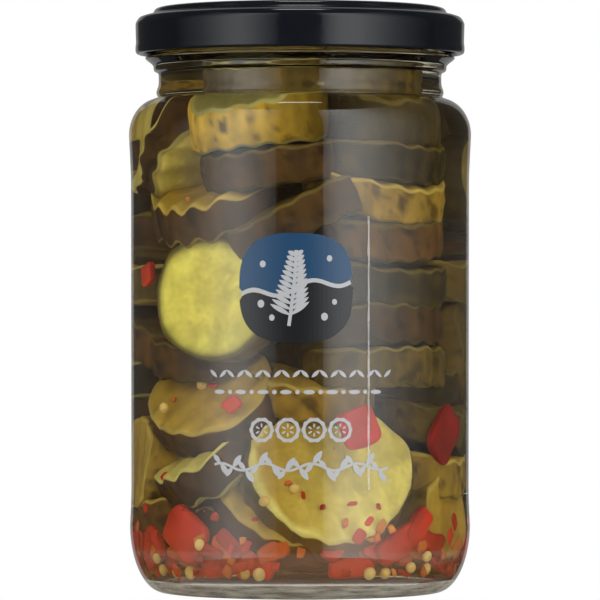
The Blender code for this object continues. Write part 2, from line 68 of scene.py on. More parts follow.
# Glass finish, the part that the lid screws on to
NECK_BEAD_RADIUS = 32.2 * MM
NECK_BEAD_HEIGHT = 111.6 * MM
NECK_RADIUS = 31.6 * MM
COLLAR_RADIUS = 32.75 * MM
COLLAR_LOW = 116.0 * MM
TRANSFER_BEAD_RADIUS = 34.8 * MM
TRANSFER_BEAD_HEIGHT = 119.2 * MM
FINISH_RADIUS = 32.5 * MM
RIM_HEIGHT = 127.0 * MM
RIM_ROUND = 1.0 * MM
THREAD_STARTS = 4
THREAD_SWEEP = 70.0          # degrees
THREAD_CENTRE_RADIUS = 33.2 * MM
THREAD_BEAD = 0.9 * MM
THREAD_LOW = 123.0 * MM
THREAD_RISE = 1.8 * MM

# Glass body, inside
BORE_RADIUS = 35.0 * MM
MOUTH_RADIUS = 29.2 * MM
FLOOR_HEIGHT = 4.0 * MM
FLOOR_CROWN = 6.0 * MM
INNER_HEEL_RADIUS = 28.5 * MM
INNER_HEEL_TOP = 11.0 * MM
INNER_SHOULDER_LOW = 100.5 * MM
INNER_SHOULDER_TOP = 108.5 * MM

# Lid
LID_HEIGHT = 130.5 * MM
LID_RADIUS = 36.8 * MM
LID_SHEET = 0.4 * MM
LID_BOTTOM = 120.1 * MM
LID_PANEL_RADIUS = 31.4 * MM
LID_STEP_RADIUS = 33.0 * MM
LID_SHOULDER_HEIGHT = 128.8 * MM
LID_SHOULDER_RADIUS = 34.5 * MM
LID_SKIRT_TOP = 127.0 * MM
LID_CURL_HEIGHT = 1.9 * MM
LID_CURL_INNER_RADIUS = 35.1 * MM
LINER_INNER_RADIUS = 29.6 * MM
LUG_TIP_RADIUS = 33.6 * MM
LUG_WIDTH = 8.0 * MM
LUG_HIGH = 121.6 * MM

# Label, a clear film wrapped round the panel with its butt joint at the back
LABEL_LOW = 23.9 * MM
LABEL_HIGH = 83.4 * MM
LABEL_WRAP = 350.0           # degrees

# Cucumber slices
SLICE_THICKNESS = 8.4 * MM
CONTENT_TOP = 120.0 * MM
WALL_CLEARANCE = 0.45 * MM
SETTLE_STEP = 0.1 * MM
Slice = namedtuple("Slice", "azimuth reach height radius bearing rise")
LENGTHS = ("reach", "height", "radius", "width", "tall", "thick")    # in millimetres in the lists

# The slices that show at the front: azimuth in degrees, reach from the axis, height and radius in
# millimetres, then the bearing and the rise in degrees of the way its upper cut face looks.
FRONT_SLICES = (
    Slice(-25, 13.5, 113.9, 13.0, -30, 85),
    Slice(52, 13.5, 113.6, 13.0, 40, 84),
    Slice(-27, 19.0, 104.6, 13.8, -43, 77),
    Slice(-68, 21.5, 97.0, 11.5, -158, 35),
    Slice(51, 20.0, 103.6, 12.3, 60, 86),
    Slice(-18, 16.5, 95.6, 14.5, -40, 78),
    Slice(50, 19.5, 95.0, 14.0, 40, 80),
    Slice(-52, 19.5, 86.0, 14.3, -42, 72),
    Slice(-3, 17.8, 83.6, 16.0, -79, 63),
    Slice(48, 19.3, 85.4, 14.3, 40, 72),
    Slice(-40, 26.6, 65.2, 14.2, -27, 4),
    Slice(46, 19.0, 77.0, 15.0, 20, 87),
    Slice(48, 19.0, 68.3, 14.8, 100, 88),
    Slice(44, 18.8, 59.6, 15.2, -60, 87),
    Slice(47, 18.8, 50.8, 15.0, 60, 86),
    Slice(-50, 21.6, 42.4, 14.5, -42, 45),
    Slice(-50, 20.6, 30.2, 14.0, -85, 53),
    Slice(14, 22.8, 25.9, 17.5, 14, 28),
    Slice(-2, 18.5, 22.0, 15.8, 5, 35),
    Slice(66, 22.5, 38.5, 11.5, 60, 84),
    Slice(76, 22.3, 27.0, 11.5, 80, 84),
    Slice(-86, 26.2, 28.5, 11.0, -95, 5),
)

# The slices elsewhere, packed by a rule
PACK_SEED = 7
PACK_LOW = 14.0 * MM
PACK_HIGH = 115.0 * MM
PACK_STEP = 3.9 * MM
PACK_PLACES = 11             # round the jar at each height
PACK_TRIES = 9
PACK_REACH_STEP = 0.7 * MM
PACK_RADII = (11.5 * MM, 15.0 * MM)
PACK_LYING_SHARE = 0.62
PACK_CROWDING = 0.13         # share of a slice that may lie inside the others

# Pepper pieces: azimuth, reach and height of the centre, width, height and thickness in millimetres,
# then the roll in degrees.
Pepper = namedtuple("Pepper", "azimuth reach height width tall thick roll")
FRONT_PEPPERS = (
    Pepper(22, 32.6, 37.4, 9.5, 9.5, 2.6, 20),
    Pepper(66, 31.8, 35.5, 13.0, 10.5, 3.0, 48),
    Pepper(-71, 32.4, 70.8, 5.0, 5.0, 3.0, 15),
    Pepper(-48, 31.5, 14.0, 12.0, 9.5, 3.2, -35),
    Pepper(-33, 30.2, 7.8, 10.0, 6.0, 3.2, 8),
    Pepper(-17, 30.6, 7.2, 7.0, 5.0, 3.2, -12),
    Pepper(21, 30.6, 7.0, 10.0, 4.8, 3.2, 5),
    Pepper(40, 31.0, 12.0, 12.0, 6.0, 3.2, 28),
    Pepper(58, 31.5, 16.5, 11.0, 8.0, 3.2, 60),
    Pepper(74, 31.0, 9.0, 11.0, 7.0, 3.2, -15),
    Pepper(-72, 31.4, 11.0, 9.0, 8.0, 3.2, 25),
    Pepper(-27, 30.8, 42.5, 4.5, 3.2, 2.4, 40),
)
PEPPER_SEED = 11
PEPPER_ROW = 11              # pieces round the back of the bottom layer
PEPPER_ROW_START = 95.0      # degrees
PEPPER_ROW_SWEEP = 172.0
PEPPER_CORNER = 0.16         # how uneven the corners are, as a share of the size
PEPPER_WALL = 3.2 * MM

Seed = namedtuple("Seed", "azimuth reach height")
SEED_RADIUS = 1.4 * MM
# Mustard seeds that show: azimuth in degrees and height in millimetres
FRONT_SEEDS = (
    (-39, 12.0), (-64, 8.8), (-63, 6.6), (-55, 6.2), (-47, 6.2), (-22, 6.2), (-16, 6.1),
    (35, 6.2), (46, 7.2), (53, 9.4), (55, 6.9), (28, 6.2), (-58, 41.5), (-13, 21.5),
)
SEED_ROW = 20                # seeds round the back

# The hidden middle of the heap
CORE_LOW = 6.6 * MM
CORE_HIGH = 112.5 * MM

# Looks
GLASS_STEPS = 224
LID_STEPS = 256
FILM_STEPS = 240
BRINE_OVERLAP = 0.05 * MM    # how far the brine reaches into the glass
BRINE_TOP = 121.5 * MM
STIPPLE_TOP = 3.3 * MM       # the heel is stippled up to here
GLASS_INDEX = 1.52
BRINE_INDEX = 1.34
GLASS_TINT = (0.985, 0.995, 0.985)
INNER_TINT = (0.99, 1.0, 0.99)
GLASS_RIPPLE = 0.05 * MM
FROST_TONE = (0.72, 0.71, 0.60)
FROST_SHARE = (0.2, 0.6)
HAZE_TONE = (0.42, 0.20, 0.06)       # the cloudiness of the brine, strongest at the foot
HAZE_FOOT = (6.0 * MM, 22.0 * MM, 0.23)    # heights between which it thins, and its share below them
HAZE_SHARE = 0.01            # its share above them
BRINE_SHADE = (0.93, 0.86, 0.60)     # the light that gets through to the food
BRINE_TINT = (0.86, 0.68, 0.28)      # what the brine's depth does to the view
BRINE_DENSITY = 11.0
LACQUER_TONES = ((0.0040, 0.0052, 0.0075), (0.0065, 0.0080, 0.0115))

LABEL_RADIUS = 37.86 * MM
FILM_THICKNESS = 0.06 * MM
CREASE_AZIMUTH = 23.1        # degrees
CREASE_WIDTH = 0.42 * MM
CREASE_SEED = 3
INK_DEPTHS = tuple(depth * MM for depth in (0.07, 0.09, 0.11, 0.13, 0.15))    # between the layers of ink
PRINT_COLUMN = 1.0 * MM      # the print is bent round the jar in columns this wide
BADGE_X = -0.9 * MM
BADGE_Z = 67.8 * MM
BADGE_WIDTH = 25.0 * MM
BADGE_HEIGHT = 23.8 * MM
BADGE_POWER = 0.72           # below 1, it makes the round squarish
BADGE_STEPS = 96
BADGE_LINE = 1.0 * MM
BADGE_TILT = 0.16
BADGE_DOTS = ((-7.6, -3.4, 1.5), (-5.2, -6.4, 1.2), (6.2, -6.2, 1.5), (8.4, -3.0, 1.1),
              (-7.2, 5.2, 1.3), (7.3, 6.4, 1.2))
ROW_ONE = (49.2, -20.4, 20.7)    # height of the middle, left end and right end in millimetres
ROW_TWO = (45.3, -19.3, 19.8)
ROW_THREE = (37.1, -11.2, 11.6)
ROW_FOUR = (29.1, -19.3, 20.0)

WAVE_PITCH = 5.5 * MM        # of the crinkle cut
WAVE_HEIGHT = 0.75 * MM
FRONT_SIDES = 100
FRONT_RINGS = 12
BACK_SIDES = 64
BACK_RINGS = 7
FACE_SHARE = 0.93            # radius of the cut face as a share of the slice's
# The rounded skin, as shares of the radius and of the thickness
RIM_ROWS = ((0.945, 0.497), (0.957, 0.485), (0.966, 0.462), (0.973, 0.435), (0.981, 0.40),
            (0.990, 0.32), (0.997, 0.2), (1.0, 0.07))
LUMPS = ((2, 0.016), (3, 0.012), (5, 0.008), (9, 0.006))    # waves round a slice, and their heights
CUP_DEPTH = 0.5 * MM
WARP = 0.8 * MM
SKIN_BUMP = 0.5 * MM
FACE_BUMP = 0.16 * MM
PRESS_GAP = 0.12 * MM
SLICE_SEED = 21
HEART_TINT = (0.86, 0.80, 0.62)
SEED_TINT = (1.18, 1.16, 1.1)
SKIN_TONES = {
    "yellow": (0.36, 0.23, 0.026),
    "ochre": (0.20, 0.130, 0.020),
    "gold": (0.30, 0.185, 0.030),
    "brown": (0.074, 0.037, 0.012),
    "rust": (0.12, 0.056, 0.013),
    # partly the skin's own dark colour, partly painted shade for slices that lie in shade
    "dark": (0.042, 0.030, 0.013),
    "olive": (0.120, 0.078, 0.017),
}
SPOT_TONES = {
    "yellow": (0.07, 0.035, 0.008),
    "ochre": (0.06, 0.036, 0.010),
    "gold": (0.07, 0.038, 0.010),
    "brown": (0.026, 0.015, 0.007),
    "rust": (0.032, 0.017, 0.007),
    "dark": (0.10, 0.064, 0.018),
    "olive": (0.042, 0.028, 0.010),
}
SPOT_SHARE = {"yellow": 0.9, "ochre": 0.85, "gold": 0.8, "brown": 0.8, "rust": 0.85, "dark": 0.5,
              "olive": 0.75}
FACE_TONES = {
    "pale": (0.60, 0.51, 0.16),
    "cream": (0.70, 0.61, 0.19),
    "butter": (0.86, 0.80, 0.20),
    "amber": (0.44, 0.29, 0.055),
    "sage": (0.34, 0.30, 0.12),
    "moss": (0.25, 0.18, 0.042),
    # painted shade: flesh darkened for cut faces that lie in shade
    "dusk": (0.13, 0.088, 0.025),
}
# The thin band of flesh at the edge of the cut, against the skin
EDGE_TONES = {
    "pale": (0.58, 0.49, 0.18),
    "cream": (0.66, 0.57, 0.21),
    "butter": (0.30, 0.24, 0.06),
    "amber": (0.46, 0.33, 0.085),
    "sage": (0.38, 0.33, 0.13),
    "moss": (0.22, 0.16, 0.045),
    # painted shade, as the flesh tone of the same name
    "dusk": (0.13, 0.092, 0.028),
}
AMBER_SHARE = {"butter": 0.1}        # flesh with less of the patchy amber than the rest
RIM_SHADE = {"butter": 0.5}          # flesh that darkens towards its rim
# Skin, flesh and the height of the crinkle as a share, for each slice at the front
FRONT_TONES = (
    ("olive", "pale", 0.5), ("olive", "dusk", 0.5), ("yellow", "sage", 0.45), ("brown", "pale", 1.0),
    ("dark", "dusk", 0.45), ("brown", "dusk", 0.5), ("dark", "dusk", 0.4), ("brown", "amber", 1.1),
    ("brown", "dusk", 0.3), ("gold", "amber", 0.45), ("olive", "butter", 0.55), ("rust", "dusk", 0.4),
    ("dark", "dusk", 0.45), ("brown", "dusk", 0.5), ("olive", "moss", 0.5), ("brown", "amber", 0.6),
    ("brown", "pale", 0.9), ("olive", "cream", 1.0), ("brown", "amber", 0.7), ("olive", "dusk", 0.5),
    ("gold", "amber", 0.6), ("gold", "amber", 0.6),
)
# Slices shown a little off their places in the solid heap, by their numbers in it
SHOWN_SLICES = {
    6: Slice(50, 19.5, 96.5, 14.0, 40, 82), 9: Slice(48, 19.3, 88.6, 14.3, 40, 77),
    11: Slice(46, 19.0, 79.0, 15.0, 20, 87), 19: Slice(80, 22.0, 38.5, 10.5, 80, 80),
    25: Slice(-54, 15.0, 14.0, 11.0, -154, 82),
}
# Slices in the gaps between the others, in the scene alone
EXTRA_SHOWN = 2              # so many of them, the first ones, are in full detail
EXTRA_SLICES = (Slice(-97, 24.0, 98.5, 10.0, -97, 8), Slice(6, 13.0, 46.5, 13.0, 25, 66),
                Slice(84, 18.0, 47.5, 12.0, 84, 82), Slice(-42, 18.0, 65.0, 12.0, -42, 5),
                Slice(-62, 20.0, 53.0, 11.0, -62, 80), Slice(100, 22.5, 36.0, 11.5, 100, 82),
                Slice(70, 27.0, 17.5, 9.5, 70, 8), Slice(-78, 21.0, 18.0, 11.0, -78, 80))
EXTRA_TONES = (("brown", "pale", 0.8), ("gold", "amber", 0.5), ("dark", "dusk", 0.5),
               ("dark", "dusk", 0.5), ("brown", "dusk", 0.5), ("dark", "dusk", 0.5), ("ochre", "amber", 0.6),
               ("rust", "amber", 0.4))
UNDER_SHADE = 0.5            # the lower edge of a slice, in its own shade
STAIN_TONE = (0.46, 0.29, 0.045)
STAINED = {17: 0.85, 15: 0.3, 10: 0.1}    # how strongly the left of a front slice's flesh is stained amber
# Painted light and shade: the skin of these front slices is lit on one side and shaded on the other
SKIN_FADE = {2: 0.6, 4: -0.6}        # how much the skin darkens from left to right
LOW_TONE = (0.24, 0.055, 0.018)      # the chilli-stained foot of the heap
LOW_STAIN = (6.0 * MM, 15.0 * MM, 0.6)
SPARSE = (-9.0, 17.0, 0.12)  # azimuths with few loose pieces, and the share kept
DARK_SIDE = (50.0, 130.0)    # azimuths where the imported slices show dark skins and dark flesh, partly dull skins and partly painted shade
REST_WAVES = (0.4, 0.95)
RED_TONES = ((0.50, 0.030, 0.018), (0.44, 0.024, 0.015), (0.53, 0.045, 0.018))
PEPPER_TONES = RED_TONES + ((0.52, 0.085, 0.022), (0.34, 0.018, 0.012), (0.50, 0.14, 0.035))
FLAKE_TONES = ((0.50, 0.035, 0.015), (0.56, 0.13, 0.03), (0.40, 0.02, 0.01), (0.58, 0.20, 0.05))
# Flakes on the upper cut face of a numbered slice: how far to the right and up in millimetres, then size
SLICE_FLAKES = (
    (17, -3.0, -9.0, 1.4, 1.4), (17, 3.4, -8.2, 2.4, 1.3), (17, 1.6, -13.0, 1.6, 3.4),
    (17, -9.5, -3.0, 2.6, 1.5), (17, -6.6, -6.0, 1.5, 2.2), (17, 9.0, -9.0, 1.2, 1.6),
    (15, 1.8, 1.0, 2.6, 1.6), (15, -6.0, -3.5, 1.0, 1.6), (16, 3.0, -12.4, 2.6, 3.4),
    (18, -9.5, -9.0, 1.8, 1.4), (2, 4.0, 3.0, 1.2, 1.0), (7, 0.0, -10.0, 1.2, 0.9),
)
SLICE_SEEDS = ((15, -0.6, 0.8), (17, -8.4, -4.6))    # seeds placed in the same way
FLAKE_LIFT = 0.5 * MM        # of a flake's middle above the cut face
SEED_LIFT = 0.9 * MM
FLAKE_THICK = 0.9 * MM
SHOWN_PEPPERS = {8: Pepper(50, 31.5, 15.5, 9.0, 5.0, 3.2, 50)}    # shown a little off its place
PEPPER_SHADE = {1: 0.5}
LOOSE_FLAKES = 120
LOOSE_PEPPERS = 30
LOOSE_START = -95.0          # degrees
LOOSE_SWEEP = 190.0
FLAKE_SEED = 17
SEED_TONES = ((0.72, 0.50, 0.20), (0.66, 0.44, 0.15), (0.76, 0.57, 0.27))
SEED_SEED = 29
# Painted shade: the middle of the heap is given a near-black brown for the shade between the pieces
CORE_TONE = (0.060, 0.038, 0.013)
CORE_SHOWN = 16.5 * MM       # the dark middle is drawn further in than the solid's
CORE_BACK = 24.0 * MM        # but not behind
CORE_WIDEN = (80.0, 115.0)   # degrees from the front over which it widens
CORE_SEED = 31
# Air bubbles: azimuth in degrees, then height and radius in millimetres
BUBBLES = ((-45.6, 19.0, 0.42), (-42.0, 19.1, 0.3), (-38.5, 19.4, 0.42), (-35.5, 19.2, 0.28),
           (-44.0, 20.0, 0.2), (-15.0, 92.6, 0.35), (12.0, 33.0, 0.22))
BUBBLE_SEED = 37

# Studio
CAMERA_PLACE = (0.0, -1.10, 0.0652)
LENS = 295.0
SENSOR = 36.0
CLIP_START = 0.05
FLOOR_RADIUS = 1.4
FLOOR_TONE = (0.82, 0.82, 0.81)
# What reflections and diffuse surfaces get from the surroundings in place of white: ray, tone and strength
WORLD_LIGHT = (("Is Glossy Ray", (1.0, 0.98, 0.95), 0.06), ("Is Diffuse Ray", (1.0, 0.99, 0.97), 0.3))
LIGHT_DISTANCE = 0.62
PANEL_TONE = (0.97, 0.99, 1.0)
BOX_RADIANCE = 2.55
TOP_RADIANCE = 8.0
TOP_SIZE = 0.3
TOP_HEIGHT = 1.1
# The two curved light panels: azimuth in degrees and radiance share, from the sharp inner edge outwards
GLOW_LEFT = ((-15.4, 0.18), (-18.6, 0.26), (-26.6, 0.52), (-33.5, 0.78), (-40.4, 0.97), (-47.4, 0.92),
             (-54.9, 0.72), (-62.4, 0.48), (-70.4, 0.27), (-78.7, 0.17), (-87.6, 0.08), (-97.0, 0.0))
GLOW_RIGHT = ((15.0, 0.36), (17.0, 0.5), (20.0, 0.74), (26.7, 1.13), (33.5, 1.2), (40.4, 1.15),
              (47.4, 0.92), (54.9, 0.72), (62.4, 0.48), (70.4, 0.30), (78.7, 0.18), (87.6, 0.09),
              (97.0, 0.03), (104.0, 0.0))
PANEL_FOOT = -0.26
PANEL_HEAD = 0.95
BACK_PANEL = (50.0, 0.12)    # sweep in degrees and radiance share


# Where the pieces lie, by the same rules as the part's solid heap

def heading(bearing, rise=0.0):
    """The unit vector at a bearing round the jar, tipped up by the rise; both in degrees."""
    bearing = math.radians(bearing)
    rise = math.radians(rise)
    flat = math.cos(rise)
    return Vector((flat * math.sin(bearing), -flat * math.cos(bearing), math.sin(rise)))


def cavity_radius(height):
    """The radius of the inside of the glass at a height."""
    if height < INNER_HEEL_TOP:
        drop = (INNER_HEEL_TOP - height) / (INNER_HEEL_TOP - FLOOR_HEIGHT)
        return INNER_HEEL_RADIUS + (BORE_RADIUS - INNER_HEEL_RADIUS) * math.sqrt(max(0.0, 1.0 - drop * drop))
    if height > INNER_SHOULDER_LOW:
        lift = min(1.0, (height - INNER_SHOULDER_LOW) / (INNER_SHOULDER_TOP - INNER_SHOULDER_LOW))
        return MOUTH_RADIUS + (BORE_RADIUS - MOUTH_RADIUS) * math.sqrt(max(0.0, 1.0 - lift * lift))
    return BORE_RADIUS


def inside_glass(points):
    """Whether every point keeps clear of the wall, the floor and the lid."""
    for x, y, z in points:
        reach = math.hypot(x, y)
        floor = FLOOR_CROWN - (FLOOR_CROWN - FLOOR_HEIGHT) * min(1.0, reach / INNER_HEEL_RADIUS)
        if z > CONTENT_TOP or z < floor + WALL_CLEARANCE or reach > cavity_radius(z) - WALL_CLEARANCE:
            return False
    return True


def settled(piece, outline, step):
    """The piece drawn in towards the axis until its outline clears the glass, or None where it can't."""
    while piece.reach > 0.0:
        if inside_glass(outline(piece)):
            return piece
        piece = piece._replace(reach=piece.reach - step)
    return None


def lifted(piece, outline, step):
    """The piece settled against the glass, raised where the floor is in its way."""
    found = settled(piece, outline, step)
    while found is None:
        piece = piece._replace(height=piece.height + step)
        found = settled(piece, outline, step)
    return found


def turns(count, shift=0.0):
    """Angles all the way round in equal steps."""
    return [2.0 * math.pi * (index + shift) / count for index in range(count)]


def centre_of(piece):
    return heading(piece.azimuth) * piece.reach + Vector((0.0, 0.0, piece.height))


def in_metres(piece):
    """The piece with its lengths turned from millimetres into metres."""
    return piece._replace(**{name: getattr(piece, name) * MM for name in piece._fields if name in LENGTHS})


def slice_axes(piece):
    """Two unit vectors in the plane of the cut, and its normal."""
    normal = heading(piece.bearing, piece.rise)
    first = normal.orthogonal().normalized()
    return first, normal.cross(first), normal


def slice_points(piece, shares, levels, count=12):
    """Points of a slice as rows of an array, on rings at shares of its radius and thickness."""
    first, second, normal = slice_axes(piece)
    centre = centre_of(piece)
    rows = []
    for level in levels:
        for share in shares:
            for angle in turns(count):
                flat = first * math.cos(angle) + second * math.sin(angle)
                rows.append(centre + flat * piece.radius * share + normal * SLICE_THICKNESS * level)
    return np.array(rows)


def slice_rims(piece):
    return slice_points(piece, (1.0,), (-0.5, 0.5))


def crowding(points, pieces):
    """The share of the points that lie inside the slices already there."""
    inside = np.zeros(len(points), dtype=bool)
    for other in pieces:
        offset = points - np.array(centre_of(other))
        along = offset @ np.array(heading(other.bearing, other.rise))
        across = np.sqrt(np.maximum(0.0, (offset ** 2).sum(axis=1) - along ** 2))
        inside |= (np.abs(along) < SLICE_THICKNESS / 2) & (across < other.radius)
    return inside.mean()


def random_slice(draw, azimuth, height):
    """A slice that lies nearly flat, or one that leans with a cut face to the glass."""
    radius = draw.uniform(*PACK_RADII)
    if draw.random() < PACK_LYING_SHARE:
        return Slice(azimuth, BORE_RADIUS, height, radius, draw.uniform(-180, 180), draw.uniform(66, 88))
    bearing = azimuth + draw.uniform(-30, 30)
    return Slice(azimuth, BORE_RADIUS, height, radius, bearing, draw.uniform(-12, 28))


def pack_slices():
    """The front slices as listed, then the others wherever the jar still has room."""
    pieces = [settled(in_metres(piece), slice_rims, SETTLE_STEP) for piece in FRONT_SLICES]
    draw = random.Random(PACK_SEED)
    height = PACK_LOW
    while height < PACK_HIGH:
        turn = draw.uniform(0, 360)
        for place in range(PACK_PLACES):
            best = None
            for _ in range(PACK_TRIES):
                azimuth = turn + 360.0 * place / PACK_PLACES + draw.uniform(-10, 10)
                piece = settled(random_slice(draw, azimuth, height), slice_rims, PACK_REACH_STEP)
                if piece is None:
                    continue
                crowd = crowding(slice_points(piece, (0.45, 0.95), (-0.45, 0.0, 0.45)), pieces)
                if best is None or crowd < best[0]:
                    best = (crowd, piece)
            if best is not None and best[0] <= PACK_CROWDING:
                pieces.append(best[1])
        height += PACK_STEP
    return pieces


def box_corners(centre, side, outward, up, sizes):
    """The eight corners of an uneven box, each by its own width, thickness and height."""
    corners = []
    for index, (width, thick, tall) in enumerate(sizes):
        across, along, above = index % 2 - 0.5, index // 2 % 2 - 0.5, index // 4 - 0.5
        corners.append(centre + side * (across * width) + outward * (along * thick) + up * (above * tall))
    return corners


def pepper_corners(piece, uneven=((1.0, 1.0, 1.0),) * 8):
    """The eight corners of a flat chunk that lies with its broad side to the glass."""
    outward = heading(piece.azimuth)
    up = Matrix.Rotation(math.radians(piece.roll), 3, outward) @ Vector((0.0, 0.0, 1.0))
    sizes = [(piece.width * share[0], piece.thick * share[1], piece.tall * share[2]) for share in uneven]
    return box_corners(centre_of(piece), outward.cross(up), outward, up, sizes)


def pack_peppers():
    """The pepper pieces seen at the front, and a row of them round the back of the bottom layer."""
    pieces = [in_metres(piece) for piece in FRONT_PEPPERS]
    draw = random.Random(PEPPER_SEED)
    for index in range(PEPPER_ROW):
        azimuth = PEPPER_ROW_START + PEPPER_ROW_SWEEP * index / (PEPPER_ROW - 1) + draw.uniform(-4, 4)
        height = draw.uniform(8.5, 13.0) * MM
        width = draw.uniform(7.0, 11.5) * MM
        tall = draw.uniform(5.0, 7.5) * MM
        pieces.append(Pepper(azimuth, BORE_RADIUS, height, width, tall, PEPPER_WALL, draw.uniform(-40, 40)))
    return [lifted(piece, pepper_corners, SETTLE_STEP) for piece in pieces]


def seed_outline(piece):
    """Points round a seed in the plane through the jar's axis."""
    outward = heading(piece.azimuth)
    centre = centre_of(piece)
    return [centre + (outward * math.cos(angle) + Vector((0.0, 0.0, math.sin(angle)))) * SEED_RADIUS
            for angle in turns(12)]


def pack_seeds():
    """The mustard seeds, each settled against the glass."""
    places = [(azimuth, height * MM) for azimuth, height in FRONT_SEEDS]
    draw = random.Random(PEPPER_SEED)
    for index in range(SEED_ROW):
        azimuth = PEPPER_ROW_START + PEPPER_ROW_SWEEP * (index + draw.random()) / SEED_ROW
        places.append((azimuth, draw.uniform(6.0, 11.0) * MM))
    seeds = [Seed(azimuth, BORE_RADIUS, height) for azimuth, height in places]
    return [lifted(seed, seed_outline, SETTLE_STEP) for seed in seeds]


# Meshes

def placed(name, data):
    """A new object in the scene."""
    obj = bpy.data.objects.new(name, data)
    bpy.context.scene.collection.objects.link(obj)
    return obj


def mesh_object(name, points, faces, materials, picks=None):
    """A smooth mesh object from lists of points and faces."""
    mesh = bpy.data.meshes.new(name)
    mesh.from_pydata([tuple(point) for point in points], [], faces)
    for material in materials:
        mesh.materials.append(material)
    mesh.polygons.foreach_set("use_smooth", [True] * len(mesh.polygons))
    if picks is not None:
        mesh.polygons.foreach_set("material_index", picks)
    return placed(name, mesh)


def shell_object(name, shell, material):
    """A flat-shaded object made from a bmesh, which is freed."""
    mesh = bpy.data.meshes.new(name)
    shell.to_mesh(mesh)
    shell.free()
    mesh.materials.append(material)
    return placed(name, mesh)


def register(obj, slot, *nodes):
    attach(obj, BODY)
    if nodes:
        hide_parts(*nodes)
    return obj


def paint(obj, name, colours):
    """Store one linear colour a vertex, for the shaders to read."""
    layer = obj.data.color_attributes.new(name, "FLOAT_COLOR", "POINT")
    rows = np.ones((len(colours), 4))
    rows[:, :3] = colours
    layer.data.foreach_set("color", rows.ravel())


def quarter(centre_radius, centre_height, width, height, start, end, count):
    """Points of an elliptical arc in the profile plane; 0 degrees looks outwards, 90 up."""
    points = []
    for index in range(count + 1):
        angle = math.radians(start + (end - start) * index / count)
        points.append((centre_radius + width * math.cos(angle), centre_height + height * math.sin(angle)))
    return points


def rounded(points, reach, count=4):
    """The same line with each inner corner cut by a short curve."""
    path = [Vector((*point, 0.0)) for point in points]
    out = [path[0]]
    for before, here, after in zip(path, path[1:], path[2:]):
        back = before - here
        ahead = after - here
        start = here + back * min(0.45, reach / max(back.length, 1e-9))
        end = here + ahead * min(0.45, reach / max(ahead.length, 1e-9))
        for index in range(count + 1):
            share = index / count
            out.append(start * (1 - share) ** 2 + here * 2 * share * (1 - share) + end * share ** 2)
    out.append(path[-1])
    return [(point.x, point.y) for point in out]


def turned_faces(rows, steps):
    """The faces of a closed form: rows of points all round, between a first and a last point."""
    faces = []
    for row in range(-1, rows):
        low = 1 + row * steps
        for step in range(steps):
            following = (step + 1) % steps
            if row < 0:
                faces.append((0, 1 + step, 1 + following))
            elif row == rows - 1:
                faces.append((low + step, low + steps, low + following))
            else:
                faces.append((low + step, low + steps + step, low + steps + following, low + following))
    return faces


def turned(name, profile, steps, materials, pick=None, swell=None):
    """Turn a profile that runs outwards along the top first, axis to axis, into a closed solid."""
    points = [(0.0, 0.0, profile[0][1])]
    for radius, height in profile[1:-1]:
        for angle in turns(steps):
            reach = radius if swell is None else swell(radius, height, angle)
            points.append((reach * math.sin(angle), -reach * math.cos(angle), height))
    points.append((0.0, 0.0, profile[-1][1]))
    rows = len(profile) - 2
    picks = None if pick is None else [pick(row) for row in range(rows + 1) for _ in range(steps)]
    return mesh_object(name, points, turned_faces(rows, steps), materials, picks)


# The glass jar

def inner_profile(grown=0.0):
    """The inside of the glass, from the floor's centre up to the mouth."""
    points = [(0.0, FLOOR_CROWN - grown)]
    points += [(INNER_HEEL_RADIUS * share, FLOOR_CROWN - grown - (FLOOR_CROWN - FLOOR_HEIGHT) * share)
               for share in (0.25, 0.5, 0.75)]
    points += quarter(INNER_HEEL_RADIUS, INNER_HEEL_TOP, BORE_RADIUS - INNER_HEEL_RADIUS + grown,
                      INNER_HEEL_TOP - FLOOR_HEIGHT + grown, -90, 0, 20)
    points += quarter(MOUTH_RADIUS, INNER_SHOULDER_LOW, BORE_RADIUS - MOUTH_RADIUS + grown,
                      INNER_SHOULDER_TOP - INNER_SHOULDER_LOW + grown, 0, 86, 20)
    points.append((MOUTH_RADIUS + grown, INNER_SHOULDER_TOP + 0.35 * MM))
    return points


def finish_profile():
    """The rim and the neck, from the top down to the shoulder, with the beads rounded."""
    thread_zone = [(FINISH_RADIUS, RIM_HEIGHT - RIM_ROUND - 0.25 * MM * step) for step in range(1, 22)]
    edge = [
        (MOUTH_RADIUS, RIM_HEIGHT - RIM_ROUND),
        (MOUTH_RADIUS + RIM_ROUND, RIM_HEIGHT),
        (FINISH_RADIUS - RIM_ROUND, RIM_HEIGHT),
        (FINISH_RADIUS, RIM_HEIGHT - RIM_ROUND),
    ]
    below = [
        (FINISH_RADIUS, TRANSFER_BEAD_HEIGHT + 0.8 * MM),
        (TRANSFER_BEAD_RADIUS - 0.6 * MM, TRANSFER_BEAD_HEIGHT + 0.5 * MM),
        (TRANSFER_BEAD_RADIUS, TRANSFER_BEAD_HEIGHT),
        (COLLAR_RADIUS, TRANSFER_BEAD_HEIGHT - 1.6 * MM),
        (COLLAR_RADIUS, COLLAR_LOW + 0.3 * MM),
        (NECK_RADIUS, COLLAR_LOW - 0.1 * MM),
        (NECK_RADIUS, NECK_BEAD_HEIGHT + 1.6 * MM),
        (NECK_BEAD_RADIUS, NECK_BEAD_HEIGHT),
        (NECK_BEAD_RADIUS - 0.3 * MM, SHOULDER_TOP + 0.5 * MM),
    ]
    return edge, thread_zone, below


